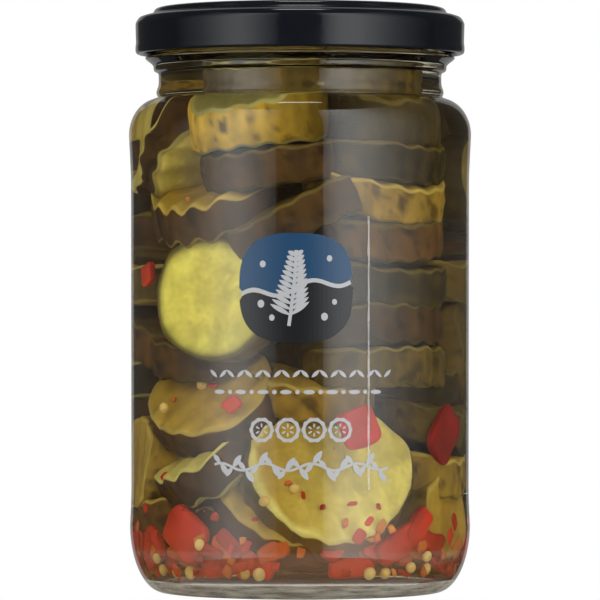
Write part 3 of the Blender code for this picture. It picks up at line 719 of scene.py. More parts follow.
def outer_profile():
    """The shoulder, the panel, the heel and the underside."""
    points = quarter(SHOULDER_CENTRE_RADIUS, SHOULDER_LOW, SHOULDER_BAND_RADIUS - SHOULDER_CENTRE_RADIUS,
                     SHOULDER_TOP - SHOULDER_LOW, 75, 0, 24)
    points += [(BODY_RADIUS + 0.3 * MM, PANEL_HIGH + 4.0 * MM), (BODY_RADIUS + 0.1 * MM, PANEL_HIGH)]
    points += [(BODY_RADIUS, PANEL_LOW), (BODY_RADIUS + 0.15 * MM, HEEL_TOP + 3.0 * MM)]
    points += quarter(HEEL_CENTRE_RADIUS, HEEL_TOP, HEEL_BAND_RADIUS - HEEL_CENTRE_RADIUS, HEEL_TOP,
                      0, -90, 28)
    return points


def underside_profile():
    return [(RING_INNER_RADIUS, 0.0), (PUSH_UP_RADIUS, 1.2 * MM), (PUSH_UP_RADIUS * 0.5, 1.9 * MM),
            (0.0, PUSH_UP_HEIGHT)]


def thread_swell(radius, height, angle):
    """Raise the four short helical ridges of the finish."""
    if abs(radius - FINISH_RADIUS) > 0.01 * MM or height < THREAD_LOW - 1.2 * MM:
        return radius
    crest = 0.0
    for start in range(THREAD_STARTS):
        turn = math.degrees(angle) - 360.0 * start / THREAD_STARTS
        share = (turn % 360.0) / THREAD_SWEEP
        if share <= 1.0:
            away = (height - THREAD_LOW - THREAD_RISE * share) / (1.15 * THREAD_BEAD)
            fade = min(1.0, share * 12.0, (1.0 - share) * 12.0)
            if abs(away) < 1.0:
                crest = max(crest, math.sqrt(1.0 - away * away) * fade)
    return radius + crest * (THREAD_CENTRE_RADIUS + THREAD_BEAD - FINISH_RADIUS)


def build_jar(outside, inside, scuffed):
    inner = inner_profile()
    edge, thread_zone, below = finish_profile()
    rim = rounded([inner[-1]] + edge + [thread_zone[0]], 0.9 * MM)
    neck = rounded([thread_zone[-1]] + below + [(SHOULDER_CENTRE_RADIUS, SHOULDER_TOP)], 0.7 * MM, 5)
    walls = rounded(outer_profile(), 2.0 * MM, 3)
    foot = rounded([walls[-1]] + underside_profile(), 1.0 * MM)
    profile = inner[:-1] + rim + thread_zone[1:-1] + neck[:-1] + walls[:-1] + foot
    wet = len(inner) - 1

    def pick(row):
        height = profile[row][1]
        if row <= wet:
            return 1 if height > INNER_HEEL_TOP - 1.0 * MM else 0
        return 2 if height < STIPPLE_TOP and profile[row][0] > PUSH_UP_RADIUS else 0

    return turned("jar_glass", profile, GLASS_STEPS, [outside, inside, scuffed], pick, thread_swell)


def build_brine(material):
    top = (MOUTH_RADIUS + BRINE_OVERLAP, BRINE_TOP)
    profile = [(0.0, BRINE_TOP), top] + inner_profile(BRINE_OVERLAP)[::-1]
    return turned("brine", profile, GLASS_STEPS, [material])


# The lid

def lid_profile():
    """Down the outside of the sheet, round the curl, and back up the inside over the sealing ring."""
    seal_low = RIM_HEIGHT + GAP
    return rounded([
        (0.0, LID_HEIGHT),
        (LID_PANEL_RADIUS, LID_HEIGHT),
        (LID_PANEL_RADIUS + 1.0 * MM, LID_HEIGHT - 0.3 * MM),
        (LID_STEP_RADIUS, LID_SHOULDER_HEIGHT + 0.2 * MM),
        (LID_SHOULDER_RADIUS, LID_SHOULDER_HEIGHT),
        (LID_SHOULDER_RADIUS + 1.5 * MM, LID_SHOULDER_HEIGHT - 0.5 * MM),
        (LID_RADIUS, LID_SKIRT_TOP),
        (LID_RADIUS - 0.12 * MM, LID_BOTTOM + LID_CURL_HEIGHT + 0.5 * MM),
        (LID_RADIUS, LID_BOTTOM + LID_CURL_HEIGHT - 0.2 * MM),
        (LID_RADIUS, LID_BOTTOM + 0.5 * MM),
        (LID_RADIUS - 0.4 * MM, LID_BOTTOM),
        (LID_CURL_INNER_RADIUS + 0.4 * MM, LID_BOTTOM),
        (LID_CURL_INNER_RADIUS, LID_BOTTOM + 0.5 * MM),
        (LID_CURL_INNER_RADIUS, LID_BOTTOM + LID_CURL_HEIGHT - 0.4 * MM),
        (LID_RADIUS - LID_SHEET, LID_BOTTOM + LID_CURL_HEIGHT),
        (LID_RADIUS - LID_SHEET, LID_SKIRT_TOP - 0.2 * MM),
        (LID_SHOULDER_RADIUS, seal_low + 0.9 * MM),
        (LID_SHOULDER_RADIUS - 1.2 * MM, seal_low),
        (LINER_INNER_RADIUS + 0.6 * MM, seal_low),
        (LINER_INNER_RADIUS, LID_HEIGHT - LID_SHEET),
        (0.0, LID_HEIGHT - LID_SHEET),
    ], 0.45 * MM, 3)


def lug_swell(radius, height, angle):
    """Draw the curl's inner side in to a tongue at each of the lugs."""
    if abs(radius - LID_CURL_INNER_RADIUS) > 0.25 * MM or height > LUG_HIGH + 0.3 * MM:
        return radius
    for index in range(THREAD_STARTS):
        turn = math.degrees(angle) - 360.0 * (index + 0.5) / THREAD_STARTS
        turn = (turn + 180.0) % 360.0 - 180.0
        share = abs(math.radians(turn)) * radius / (LUG_WIDTH / 2)
        if share < 1.15:
            fade = min(1.0, max(0.0, (1.15 - share) / 0.3))
            return radius - (LID_CURL_INNER_RADIUS - LUG_TIP_RADIUS) * fade
    return radius


def build_lid(material):
    return turned("lid_shell", lid_profile(), LID_STEPS, [material], None, lug_swell)


# The label

def wrapped(along, height, depth):
    """A point of the flat label laid round the jar."""
    angle = along / LABEL_RADIUS
    radius = LABEL_RADIUS + depth
    return (radius * math.sin(angle), -radius * math.cos(angle), height)


def build_film(film, crease):
    """The clear film as a thin closed band with a butt joint at the back and one creased strip."""
    half = math.radians(LABEL_WRAP / 2)
    stops = [-half + 2.0 * half * step / FILM_STEPS for step in range(FILM_STEPS + 1)]
    centre = math.radians(CREASE_AZIMUTH)
    width = CREASE_WIDTH / LABEL_RADIUS
    stops += [centre - width / 2, centre + width / 2]
    stops.sort()
    levels = [LABEL_LOW + (LABEL_HIGH - LABEL_LOW) * step / 24 for step in range(25)]
    draw = random.Random(CREASE_SEED)
    points = []
    section = [(0, level) for level in levels] + [(1, level) for level in reversed(levels)]
    for angle in stops:
        folded = abs(angle - centre) < width
        for side, level in section:
            sway = draw.uniform(-0.09, 0.09) * MM / LABEL_RADIUS if folded else 0.0
            depth = FILM_THICKNESS * side + (0.04 * MM if folded and side else 0.0)
            points.append(wrapped((angle + sway) * LABEL_RADIUS, level, depth))
    count = len(section)
    faces = []
    picks = []
    for column in range(len(stops) - 1):
        middle = (stops[column] + stops[column + 1]) / 2
        pick = 1 if abs(middle - centre) < width / 2 else 0
        for row in range(count):
            following = (row + 1) % count
            low = column * count
            high = low + count
            faces.append((low + row, low + following, high + following, high + row))
            picks.append(pick)
    faces.append(tuple(reversed(range(count))))
    faces.append(tuple(range((len(stops) - 1) * count, len(stops) * count)))
    picks += [0, 0]
    return mesh_object("label_film", points, faces, [film, crease], picks)


def print_shape(shell, outline, layer=0, holes=()):
    """Add a flat closed sheet with the outline to the mesh, in one of the ink's layers on the film."""
    loops = [[Vector((x, 0.0, z)) for x, z in loop] for loop in (outline, *holes)]
    flat = [point for loop in loops for point in loop]
    sheet = bmesh.new()
    corners = [sheet.verts.new(point) for point in flat]
    for triangle in tessellate_polygon(loops):
        if len(set(triangle)) == 3:
            sheet.faces.new([corners[index] for index in triangle])
    bmesh.ops.recalc_face_normals(sheet, faces=sheet.faces)
    low = min(point.x for point in flat)
    high = max(point.x for point in flat)
    place = math.floor(low / PRINT_COLUMN) * PRINT_COLUMN + PRINT_COLUMN
    while place < high:
        bmesh.ops.bisect_plane(sheet, geom=sheet.verts[:] + sheet.edges[:] + sheet.faces[:],
                               plane_co=(place, 0, 0), plane_no=(1, 0, 0), dist=1e-7)
        place += PRINT_COLUMN
    front = {}
    back = {}
    for vertex in sheet.verts:
        front[vertex] = shell.verts.new(wrapped(vertex.co.x, vertex.co.z, INK_DEPTHS[layer + 1]))
        back[vertex] = shell.verts.new(wrapped(vertex.co.x, vertex.co.z, INK_DEPTHS[layer]))
    for face in sheet.faces:
        shell.faces.new([front[vertex] for vertex in face.verts])
        shell.faces.new([back[vertex] for vertex in reversed(face.verts)])
    for edge in sheet.edges:
        if len(edge.link_faces) == 1:
            a, b = edge.verts
            shell.faces.new([front[a], front[b], back[b], back[a]])
    sheet.free()


def print_object(name, shell, material):
    bmesh.ops.recalc_face_normals(shell, faces=shell.faces)
    return shell_object(name, shell, material)


def tilted(x, z, along, across, tilt):
    """The point so far along and across a tilted line through (x, z)."""
    return (x + along * math.cos(tilt) - across * math.sin(tilt),
            z + along * math.sin(tilt) + across * math.cos(tilt))


def oval(x, z, width, height, count=28, tilt=0.0):
    """Points round an ellipse given by its centre, full width and full height, all in metres."""
    return [tilted(x, z, width / 2 * math.cos(angle), height / 2 * math.sin(angle), tilt)
            for angle in turns(count)]


def leaf(x, z, length, width, tilt):
    """A pointed leaf between two arcs, its stem end at the point given."""
    points = []
    for side in (1, -1):
        for index in range(8):
            share = index / 8 if side > 0 else 1.0 - index / 8
            across = side * width / 2 * math.sin(math.pi * share) ** 0.8
            points.append(tilted(x, z, length * share, across, tilt))
    return points


def ribbon(line, width):
    """The outline of a stroke of even width along a line."""
    left = []
    right = []
    for index, (x, z) in enumerate(line):
        ax, az = line[max(0, index - 1)]
        bx, bz = line[min(len(line) - 1, index + 1)]
        length = math.hypot(bx - ax, bz - az)
        nx, nz = -(bz - az) / length, (bx - ax) / length
        left.append((x + nx * width / 2, z + nz * width / 2))
        right.append((x - nx * width / 2, z - nz * width / 2))
    return left + right[::-1]


def badge_edge():
    """The badge's outline, a squarish round with softly cut corners."""
    points = []
    for angle in turns(BADGE_STEPS):
        c, s = math.cos(angle), math.sin(angle)
        x = math.copysign(abs(c) ** BADGE_POWER, c) * BADGE_WIDTH / 2
        z = math.copysign(abs(s) ** BADGE_POWER, s) * BADGE_HEIGHT / 2
        points.append((BADGE_X + x, BADGE_Z + z))
    return points


def badge_divide(x):
    """The height of the wavy line between the badge's two fields."""
    return BADGE_Z + BADGE_TILT * (x - BADGE_X) + 1.1 * MM * math.sin((x - BADGE_X) / (2.1 * MM))


def badge_field(side):
    """One of the badge's two fields, 1 for the upper and -1 for the lower, cut off along the wavy line."""
    kept = [(x, z) for x, z in badge_edge() if (z - badge_divide(x)) * side > BADGE_LINE / 2]
    kept.sort(key=lambda point: math.atan2((point[1] - BADGE_Z) * side, (point[0] - BADGE_X)))
    start, end = kept[0][0], kept[-1][0]
    places = [end + (start - end) * index / 40 for index in range(1, 40)]
    return kept + [(x, badge_divide(x) + side * BADGE_LINE / 2) for x in places]


def build_badge(blue, black, white):
    fields = []
    for name, side, ink in (("badge_blue", 1.0, blue), ("badge_black", -1.0, black)):
        shell = bmesh.new()
        print_shape(shell, badge_field(side))
        fields.append(print_object(name, shell, ink))
    shell = bmesh.new()
    places = [BADGE_X - BADGE_WIDTH / 2 + BADGE_WIDTH * index / 48 for index in range(1, 48)]
    print_shape(shell, ribbon([(x, badge_divide(x)) for x in places], BADGE_LINE * 0.9), 1)
    stem = [(BADGE_X - 1.5 * MM + 1.6 * MM * math.sin(t * 1.4), BADGE_Z + (-8.2 + 16.4 * t) * MM)
            for t in [index / 14 for index in range(15)]]
    print_shape(shell, ribbon(stem, 0.75 * MM), 2)
    for index in range(2, 14):
        x, z = stem[index]
        length = (5.6 - 0.28 * index) * MM
        for side in (0.62, math.pi - 0.5):
            print_shape(shell, leaf(x, z, length, 1.05 * MM, side), 3)
    for x, z, size in BADGE_DOTS:
        print_shape(shell, oval(BADGE_X + x * MM, BADGE_Z + z * MM, size * MM, size * 1.15 * MM, 16), 1)
    return (*fields, print_object("badge_marks", shell, white))


def along_row(row, share):
    """How far along a row of print a share of its length lies, in millimetres."""
    return row[1] + (row[2] - row[1]) * share


def build_rows(white):
    """Plain white ornament that carries the same weight as the lines of print in the photo."""
    shell = bmesh.new()
    for index in range(20):
        x = along_row(ROW_ONE, (index + 0.5) / 20) * MM
        tilt = 0.75 if index % 2 else math.pi - 0.75
        stem = x - 1.0 * MM * math.cos(tilt)
        print_shape(shell, leaf(stem, (ROW_ONE[0] - 0.75) * MM, 2.4 * MM, 0.8 * MM, tilt))
    x = ROW_TWO[1]
    index = 0
    while x < ROW_TWO[2] - 0.9:
        width = 2.5 if index % 2 == 0 else 1.0
        print_shape(shell, oval((x + width / 2) * MM, ROW_TWO[0] * MM, width * MM, 0.95 * MM, 20))
        x += width + 0.75
        index += 1
    for index in range(4):
        print_slice_mark(shell, along_row(ROW_THREE, (index + 0.5) / 4) * MM, ROW_THREE[0] * MM, 5.3 * MM)
    line = []
    for index in range(81):
        x = along_row(ROW_FOUR, index / 80)
        line.append((x * MM, (ROW_FOUR[0] + 0.75 * math.sin(x * 0.62)) * MM))
    print_shape(shell, ribbon(line, 0.55 * MM))
    for index in range(3, 80, 6):
        x, z = line[index]
        side = 1 if index // 6 % 2 else -1
        print_shape(shell, leaf(x, z, 3.4 * MM, 1.35 * MM, side * 0.95), 1)
        print_shape(shell, leaf(x, z, 2.6 * MM, 1.1 * MM, -side * 2.3), 2)
    return print_object("label_marks", shell, white)


def print_slice_mark(shell, x, z, size):
    """A cut cucumber slice drawn as a scalloped ring round six seeds."""
    scallop = []
    for angle in turns(60):
        reach = size / 2 * (1.0 + 0.045 * math.cos(10 * angle))
        scallop.append((x + reach * math.cos(angle), z + reach * math.sin(angle)))
    print_shape(shell, scallop, 0, [oval(x, z, size - 1.5 * MM, size - 1.5 * MM, 36)[::-1]])
    reach = 1.0 * MM
    for angle in turns(6, 0.5):
        centre = (x + reach * math.cos(angle), z + reach * math.sin(angle))
        print_shape(shell, oval(*centre, 0.9 * MM, 0.4 * MM, 12, angle))


# Surfaces of the food

def waves(points, draw, length, count=7):
    """A smooth uneven field between about -1 and 1, from a few plane waves of the given length."""
    total = np.zeros(len(points))
    for _ in range(count):
        way = np.array([draw.gauss(0, 1) for _ in range(3)])
        way *= 2.0 * math.pi / (length * draw.uniform(0.75, 1.5)) / np.linalg.norm(way)
        total += np.sin(points @ way + draw.uniform(0, 2.0 * math.pi))
    return total * 1.4 / count


def smooth_step(values, low, high):
    share = np.clip((values - low) / (high - low), 0.0, 1.0)
    return share * share * (3.0 - 2.0 * share)


def cavity_radii(heights):
    """The radius of the inside of the glass, for an array of heights."""
    drop = np.clip((INNER_HEEL_TOP - heights) / (INNER_HEEL_TOP - FLOOR_HEIGHT), 0.0, 1.0)
    low = INNER_HEEL_RADIUS + (BORE_RADIUS - INNER_HEEL_RADIUS) * np.sqrt(1.0 - drop * drop)
    lift = np.clip((heights - INNER_SHOULDER_LOW) / (INNER_SHOULDER_TOP - INNER_SHOULDER_LOW), 0.0, 1.0)
    high = MOUTH_RADIUS + (BORE_RADIUS - MOUTH_RADIUS) * np.sqrt(1.0 - lift * lift)
    return np.minimum(low, high)


def pressed(points, gap=PRESS_GAP):
    """Points pushed back inside the glass, as soft food lies against it."""
    reach = np.hypot(points[:, 0], points[:, 1])
    floor = FLOOR_CROWN - (FLOOR_CROWN - FLOOR_HEIGHT) * np.minimum(1.0, reach / INNER_HEEL_RADIUS)
    points[:, 2] = np.clip(points[:, 2], floor + gap, CONTENT_TOP)
    limit = cavity_radii(points[:, 2]) - gap
    share = np.minimum(1.0, limit / np.maximum(reach, 1e-9))
    points[:, 0] *= share
    points[:, 1] *= share
    return points


def blended(base, other, share):
    return base + (np.array(other) - base) * share[:, None]


def low_share(points):
    """How strongly the foot of the heap is stained by the chilli lying round it."""
    low, high, share = LOW_STAIN
    return share * (1.0 - smooth_step(points[:, 2], low, high))


def slice_form(piece, tone, draw, sides, rings, wave_turn, stain=0.0, fade=0.0):
    """One crinkle-cut slice: its points, faces and colours."""
    first, second, normal = [np.array(axis) for axis in slice_axes(piece)]
    centre = np.array(centre_of(piece))
    shares = [(ring / rings) ** 0.85 * FACE_SHARE for ring in range(1, rings + 1)]
    section = [(share, 0.5) for share in shares] + list(RIM_ROWS)
    section += [(share, -level) for share, level in reversed(RIM_ROWS)]
    section += [(share, -0.5) for share in reversed(shares)]
    share = np.array([row[0] for row in section])
    level = np.array([row[1] for row in section])
    angle = np.arange(sides) * 2.0 * math.pi / sides
    bend = [draw.uniform(0, 2.0 * math.pi) for _ in range(4)]
    lump = sum(size * np.sin(order * angle + shift) for (order, size), shift in zip(LUMPS, bend))
    outline = piece.radius * (0.985 + lump)
    flat_x = (share[:, None] * np.cos(angle) * outline).ravel()
    flat_y = (share[:, None] * np.sin(angle) * outline).ravel()
    high = np.repeat(level, sides) * SLICE_THICKNESS
    flat_x = np.concatenate(([0.0], flat_x, [0.0]))
    flat_y = np.concatenate(([0.0], flat_y, [0.0]))
    high = np.concatenate(([SLICE_THICKNESS / 2], high, [-SLICE_THICKNESS / 2]))
    shares_all = np.concatenate(([0.0], np.repeat(share, sides), [0.0]))
    levels_all = np.concatenate(([0.5], np.repeat(level, sides), [-0.5]))

    along = flat_x * math.cos(wave_turn) + flat_y * math.sin(wave_turn)
    across = -flat_x * math.sin(wave_turn) + flat_y * math.cos(wave_turn)
    sway = 0.25 * np.sin(across / (6.0 * MM) + bend[0])
    crinkle = np.sin(2.0 * math.pi * along / WAVE_PITCH + bend[1] + sway)
    rim_share = smooth_step(shares_all, 0.45, 0.95)
    cup = CUP_DEPTH * (shares_all ** 2 - 0.5) * draw.choice((-1, 1))
    tilt = WARP * np.cos(2 * np.arctan2(flat_y, flat_x) + bend[2]) * shares_all ** 2
    high = high + WAVE_HEIGHT * tone[2] * crinkle * (0.3 + 0.7 * rim_share) + cup + tilt

    points = centre + flat_x[:, None] * first + flat_y[:, None] * second + high[:, None] * normal
    skin = (shares_all > FACE_SHARE + 0.03) & (np.abs(levels_all) < 0.43)
    outward = (points - centre) - ((points - centre) @ normal)[:, None] * normal
    outward /= np.maximum(np.linalg.norm(outward, axis=1), 1e-9)[:, None]
    bumps = waves(points, draw, 4.2 * MM) * 0.5 + waves(points, draw, 2.4 * MM) * 0.5
    points += outward * (bumps * skin * SKIN_BUMP)[:, None]
    ripple = waves(points, draw, 5.0 * MM) * FACE_BUMP * np.sign(levels_all) * (np.abs(levels_all) > 0.45)
    points += ripple[:, None] * normal
    points = pressed(points)

    face_tone = np.array(FACE_TONES[tone[1]])
    skin_tone = np.array(SKIN_TONES[tone[0]])
    colours = np.tile(face_tone, (len(points), 1))
    cloud = waves(points, draw, 7.0 * MM)
    colours *= (1.0 + 0.13 * cloud)[:, None]
    heart = 1.0 - smooth_step(shares_all, 0.45, 0.66)
    colours = blended(colours, face_tone * np.array(HEART_TINT), 0.45 * heart)
    seed_angle = np.arctan2(flat_y, flat_x)
    seeds = np.cos(seed_angle * 9 + 2.0 * np.sin(3 * seed_angle + bend[3]))
    seeds *= np.exp(-((shares_all - 0.42) / 0.11) ** 2)
    colours = blended(colours, face_tone * np.array(SEED_TINT), 0.55 * np.clip(seeds * 1.6 - 0.4, 0, 1))
    # painted shade: the troughs of the crinkle on the cut faces are darkened
    crest = 0.5 + 0.5 * crinkle * np.sign(levels_all)
    colours *= (1.0 - 0.12 * tone[2] * (1.0 - crest) * (np.abs(levels_all) > 0.45))[:, None]
    amber = AMBER_SHARE.get(tone[1], 0.4) * smooth_step(waves(points, draw, 24.0 * MM), -0.1, 0.9)
    leftward = (centre[0] - points[:, 0]) / piece.radius
    amber = np.maximum(amber, stain * smooth_step(leftward, -0.5, 0.7))
    colours = blended(colours, np.minimum(np.array(STAIN_TONE), face_tone * 1.1), amber)
    spots = smooth_step(waves(points, draw, 4.5 * MM, 5), 0.45, 0.8)
    spots = np.maximum(spots, 0.7 * smooth_step(waves(points, draw, 2.4 * MM, 5), 0.5, 0.85))
    rim_points = points - ((points - centre) @ normal)[:, None] * normal
    mottle = 1.0 + 0.26 * waves(points, draw, 9.0 * MM) + 0.14 * waves(points, draw, 3.0 * MM)
    mottle += 0.30 * waves(rim_points, draw, 2.6 * MM)
    # painted light and shade: the fade darkens the skin from one side of the slice to the other
    skin_colours = skin_tone * (np.clip(mottle, 0.35, 1.8) * (1.0 + fade * leftward))[:, None]
    skin_colours = blended(skin_colours, np.array(SPOT_TONES[tone[0]]), spots * SPOT_SHARE[tone[0]])
    colours = np.where(skin[:, None], skin_colours, colours)
    edge = (~skin) & (shares_all > FACE_SHARE - 0.02)
    below = np.where(levels_all < 0.0, UNDER_SHADE, 1.0)
    edge_colours = np.array(EDGE_TONES[tone[1]]) * ((1.0 + 0.15 * cloud) * below)[:, None]
    colours = np.where(edge[:, None], edge_colours, colours)
    colours = blended(colours, np.array(LOW_TONE), low_share(points))
    colours *= (1.0 - RIM_SHADE.get(tone[1], 0.0) * smooth_step(shares_all, 0.74, 0.95) * ~skin)[:, None]
    return points, turned_faces(len(section), sides), colours


def joined_object(name, forms, material):
    """One mesh out of several closed forms."""
    points = []
    faces = []
    colours = []
    count = 0
    for form_points, form_faces, form_colours in forms:
        points.append(form_points)
        colours.append(form_colours)
        faces += [tuple(index + count for index in face) for face in form_faces]
        count += len(form_points)
    obj = mesh_object(name, np.concatenate(points), faces, [material])
    paint(obj, "tone", np.concatenate(colours))
    return obj


def level_turn(piece):
    """The direction in the cut's plane that runs level, along the glass."""
    first, second, _ = slice_axes(piece)
    side = heading(piece.azimuth + 90.0)
    return math.atan2(side.dot(second), side.dot(first))


def rest_tone(piece, draw):
    """Skin, flesh and crinkle of a packed slice; the right-hand side shows mostly dark skins and flesh,
    partly dull skins and partly painted shade.
    """
    azimuth = (piece.azimuth + 180.0) % 360.0 - 180.0
    wave = draw.uniform(*REST_WAVES)
    if DARK_SIDE[0] < azimuth < DARK_SIDE[1]:
        return draw.choice(("dark", "olive", "brown")), draw.choice(("dusk", "moss", "dusk")), wave
    skin = draw.choice(("brown", "olive", "rust", "gold", "dark"))
    return skin, draw.choice(("moss", "amber", "pale", "dusk")), wave


def build_slices(material):
    pieces = pack_slices()
    front = len(FRONT_SLICES)
    for number, shown in SHOWN_SLICES.items():
        pieces[number] = settled(in_metres(shown), slice_rims, SETTLE_STEP)
    draw = random.Random(SLICE_SEED)
    forms = []
    for number, (piece, tone) in enumerate(zip(pieces[:front], FRONT_TONES)):
        turn = level_turn(piece) + draw.uniform(-0.35, 0.35)
        forms.append(slice_form(piece, tone, draw, FRONT_SIDES, FRONT_RINGS, turn,
                                STAINED.get(number, 0.0), SKIN_FADE.get(number, 0.0)))
    extras = [(settled(in_metres(piece), slice_rims, SETTLE_STEP), tone)
              for piece, tone in zip(EXTRA_SLICES, EXTRA_TONES)]
    for piece, tone in extras[:EXTRA_SHOWN]:
        forms.append(slice_form(piece, tone, draw, FRONT_SIDES, FRONT_RINGS, level_turn(piece)))
    shown = joined_object("slices_front", forms, material)
    forms = [slice_form(piece, tone, draw, BACK_SIDES, BACK_RINGS, level_turn(piece))
             for piece, tone in extras[EXTRA_SHOWN:]]
    for piece in pieces[front:]:
        tone = rest_tone(piece, draw)
        turn = level_turn(piece) + draw.uniform(-0.5, 0.5)
        forms.append(slice_form(piece, tone, draw, BACK_SIDES, BACK_RINGS, turn))
    rest = joined_object("slices_round", forms, material)
    return shown, rest, pieces


def shell_rows(shell):
    """The points and faces of a bmesh, which is freed."""
    shell.verts.index_update()
    points = np.array([tuple(vertex.co) for vertex in shell.verts])
    faces = [tuple(vertex.index for vertex in face.verts) for face in shell.faces]
    shell.free()
    return points, faces


def cube_grid(count):
    """A cube from -1 to 1 with its sides divided."""
    shell = bmesh.new()
    bmesh.ops.create_cube(shell, size=2.0)
    bmesh.ops.subdivide_edges(shell, edges=shell.edges[:], cuts=count, use_grid_fill=True)
    return shell_rows(shell)


def chunk_form(corners, draw, grid, tones, bump):
    """A soft-edged chunk filling the box that the eight corners span."""
    unit, faces = grid
    length = (np.abs(unit) ** 5).sum(axis=1) ** 0.2
    unit = unit / length[:, None]
    weights = np.ones((len(unit), 8))
    for index in range(8):
        for axis, bit in ((0, index % 2), (1, index // 2 % 2), (2, index // 4)):
            share = (unit[:, axis] + 1.0) / 2.0
            weights[:, index] *= share if bit else 1.0 - share
    points = weights @ np.array([tuple(corner) for corner in corners])
    middle = points.mean(axis=0)
    outward = (points - middle) / np.linalg.norm(points - middle, axis=1)[:, None]
    points = points + outward * (waves(points, draw, 4.0 * MM) * bump)[:, None]
    base = np.array(draw.choice(tones))
    share = waves(points, draw, 6.0 * MM)
    colours = base * (1.0 + 0.25 * share)[:, None]
    inner = smooth_step(-unit[:, 1], 0.55, 0.95)
    colours = blended(colours, base * np.array((1.1, 2.0, 1.6)), 0.5 * inner)
    return pressed(points), faces, colours


def kept_here(azimuth, draw):
    """Few loose pieces lie under the large slice at the front."""
    start, end, share = SPARSE
    return not start < azimuth < end or draw.random() < share


def build_peppers(material):
    draw = random.Random(PEPPER_SEED)
    grid = cube_grid(9)
    forms = []
    for number, piece in enumerate(pack_peppers()):
        if number in SHOWN_PEPPERS:
            piece = lifted(in_metres(SHOWN_PEPPERS[number]), pepper_corners, SETTLE_STEP)
        uneven = [[draw.uniform(1.0 - PEPPER_CORNER, 1.0) for _ in range(3)] for _ in range(8)]
        points, faces, colours = chunk_form(pepper_corners(piece, uneven), draw, grid, RED_TONES, 0.35 * MM)
        forms.append((points, faces, colours * PEPPER_SHADE.get(number, 1.0)))
    for index in range(LOOSE_PEPPERS):
        azimuth = LOOSE_START + LOOSE_SWEEP * (index + draw.uniform(-0.4, 0.4)) / LOOSE_PEPPERS
        piece = Pepper(azimuth, BORE_RADIUS, draw.uniform(6.5, 12.5) * MM, draw.uniform(4.0, 9.0) * MM,
                       draw.uniform(3.0, 6.0) * MM, 2.4 * MM, draw.uniform(-60, 60))
        piece = lifted(piece, pepper_corners, SETTLE_STEP)
        piece = piece._replace(reach=piece.reach - draw.uniform(0.0, 3.0) * MM)
        uneven = [[draw.uniform(0.55, 1.0) for _ in range(3)] for _ in range(8)]
        form = chunk_form(pepper_corners(piece, uneven), draw, grid, PEPPER_TONES, 0.45 * MM)
        if kept_here(azimuth, draw):
            forms.append(form)
    return joined_object("pepper_pieces", forms, material)


def on_face(piece, x, y, lift):
    """A place above the upper cut face, x to the right and y up in millimetres, and its axes."""
    normal = slice_axes(piece)[2]
    side = Vector((0.0, 0.0, 1.0)).cross(normal).normalized()
    up = normal.cross(side)
    centre = centre_of(piece) + side * (x * MM) + up * (y * MM) + normal * (SLICE_THICKNESS / 2 + lift)
    return centre, side, up, normal


def build_flakes(material, pieces):
    """Small flakes of chilli: on the cut faces that show, and loose among the bottom layer."""
    draw = random.Random(FLAKE_SEED)
    grid = cube_grid(3)
    forms = []
    for number, x, y, width, height in SLICE_FLAKES:
        place = on_face(pieces[number], x, y, FLAKE_LIFT)
        forms.append(flake_form(*place, width, height, draw, grid))
    for _ in range(LOOSE_FLAKES):
        azimuth = draw.uniform(-180, 180)
        outward = heading(azimuth)
        height = (6.0 + 13.0 * draw.random() ** 1.8) * MM
        centre = outward * (cavity_radius(height) - draw.uniform(0.8, 3.6) * MM) + Vector((0, 0, height))
        tilt = Matrix.Rotation(draw.uniform(0, math.pi), 3, outward)
        up = tilt @ Vector((0.0, 0.0, 1.0))
        form = flake_form(centre, outward.cross(up), up, outward, draw.uniform(1.8, 4.6),
                          draw.uniform(1.2, 3.2), draw, grid)
        if kept_here(azimuth, draw):
            forms.append(form)
    return joined_object("chilli_flakes", forms, material)


def flake_form(centre, side, up, outward, width, height, draw, grid):
    """A flake of a width and height in millimetres, each corner drawn in by chance."""
    sizes = [(width * draw.uniform(0.35, 1.0) * MM, FLAKE_THICK, height * draw.uniform(0.35, 1.0) * MM)
             for _ in range(8)]
    return chunk_form(box_corners(centre, side, outward, up, sizes), draw, grid, FLAKE_TONES, 0.12 * MM)


def ball_form(centre, radius, squash, draw, tone):
    """A small ball, squashed a little, with a darker eye at one end."""
    shell = bmesh.new()
    bmesh.ops.create_icosphere(shell, subdivisions=3, radius=1.0)
    unit, faces = shell_rows(shell)
    angle = draw.uniform(0, math.pi)
    turn = np.array(Matrix.Rotation(angle, 3, Vector((draw.random(), draw.random(), 1.0))))
    points = (unit * np.array((1.0, squash, 0.97))) @ turn.T * radius
    points += np.array(tuple(centre))
    colours = np.array(tone) * (1.0 + 0.14 * waves(points, draw, 1.6 * MM))[:, None]
    eye = smooth_step(unit[:, 0], 0.86, 0.97)
    colours = blended(colours, np.array(tone) * np.array((0.45, 0.36, 0.3)), 0.7 * eye)
    return pressed(points, 0.1 * MM), faces, colours


def build_seeds(material, pieces):
    draw = random.Random(SEED_SEED)
    forms = []
    for seed in pack_seeds():
        radius = SEED_RADIUS * draw.uniform(0.82, 1.0)
        squash = draw.uniform(0.88, 0.97)
        forms.append(ball_form(centre_of(seed), radius, squash, draw, draw.choice(SEED_TONES)))
    for number, x, y in SLICE_SEEDS:
        centre = on_face(pieces[number], x, y, SEED_LIFT)[0]
        forms.append(ball_form(centre, SEED_RADIUS * 0.85, 0.93, draw, SEED_TONES[0]))
    return joined_object("mustard_seeds", forms, material)


def build_bubbles(material):
    draw = random.Random(BUBBLE_SEED)
    forms = []
    for azimuth, height, radius in BUBBLES:
        reach = cavity_radius(height * MM) - radius * MM - PRESS_GAP
        centre = heading(azimuth) * reach + Vector((0, 0, height * MM))
        forms.append(ball_form(centre, radius * MM, 1.0, draw, (0.8, 0.8, 0.8)))
    return joined_object("air_bubbles", forms, material)


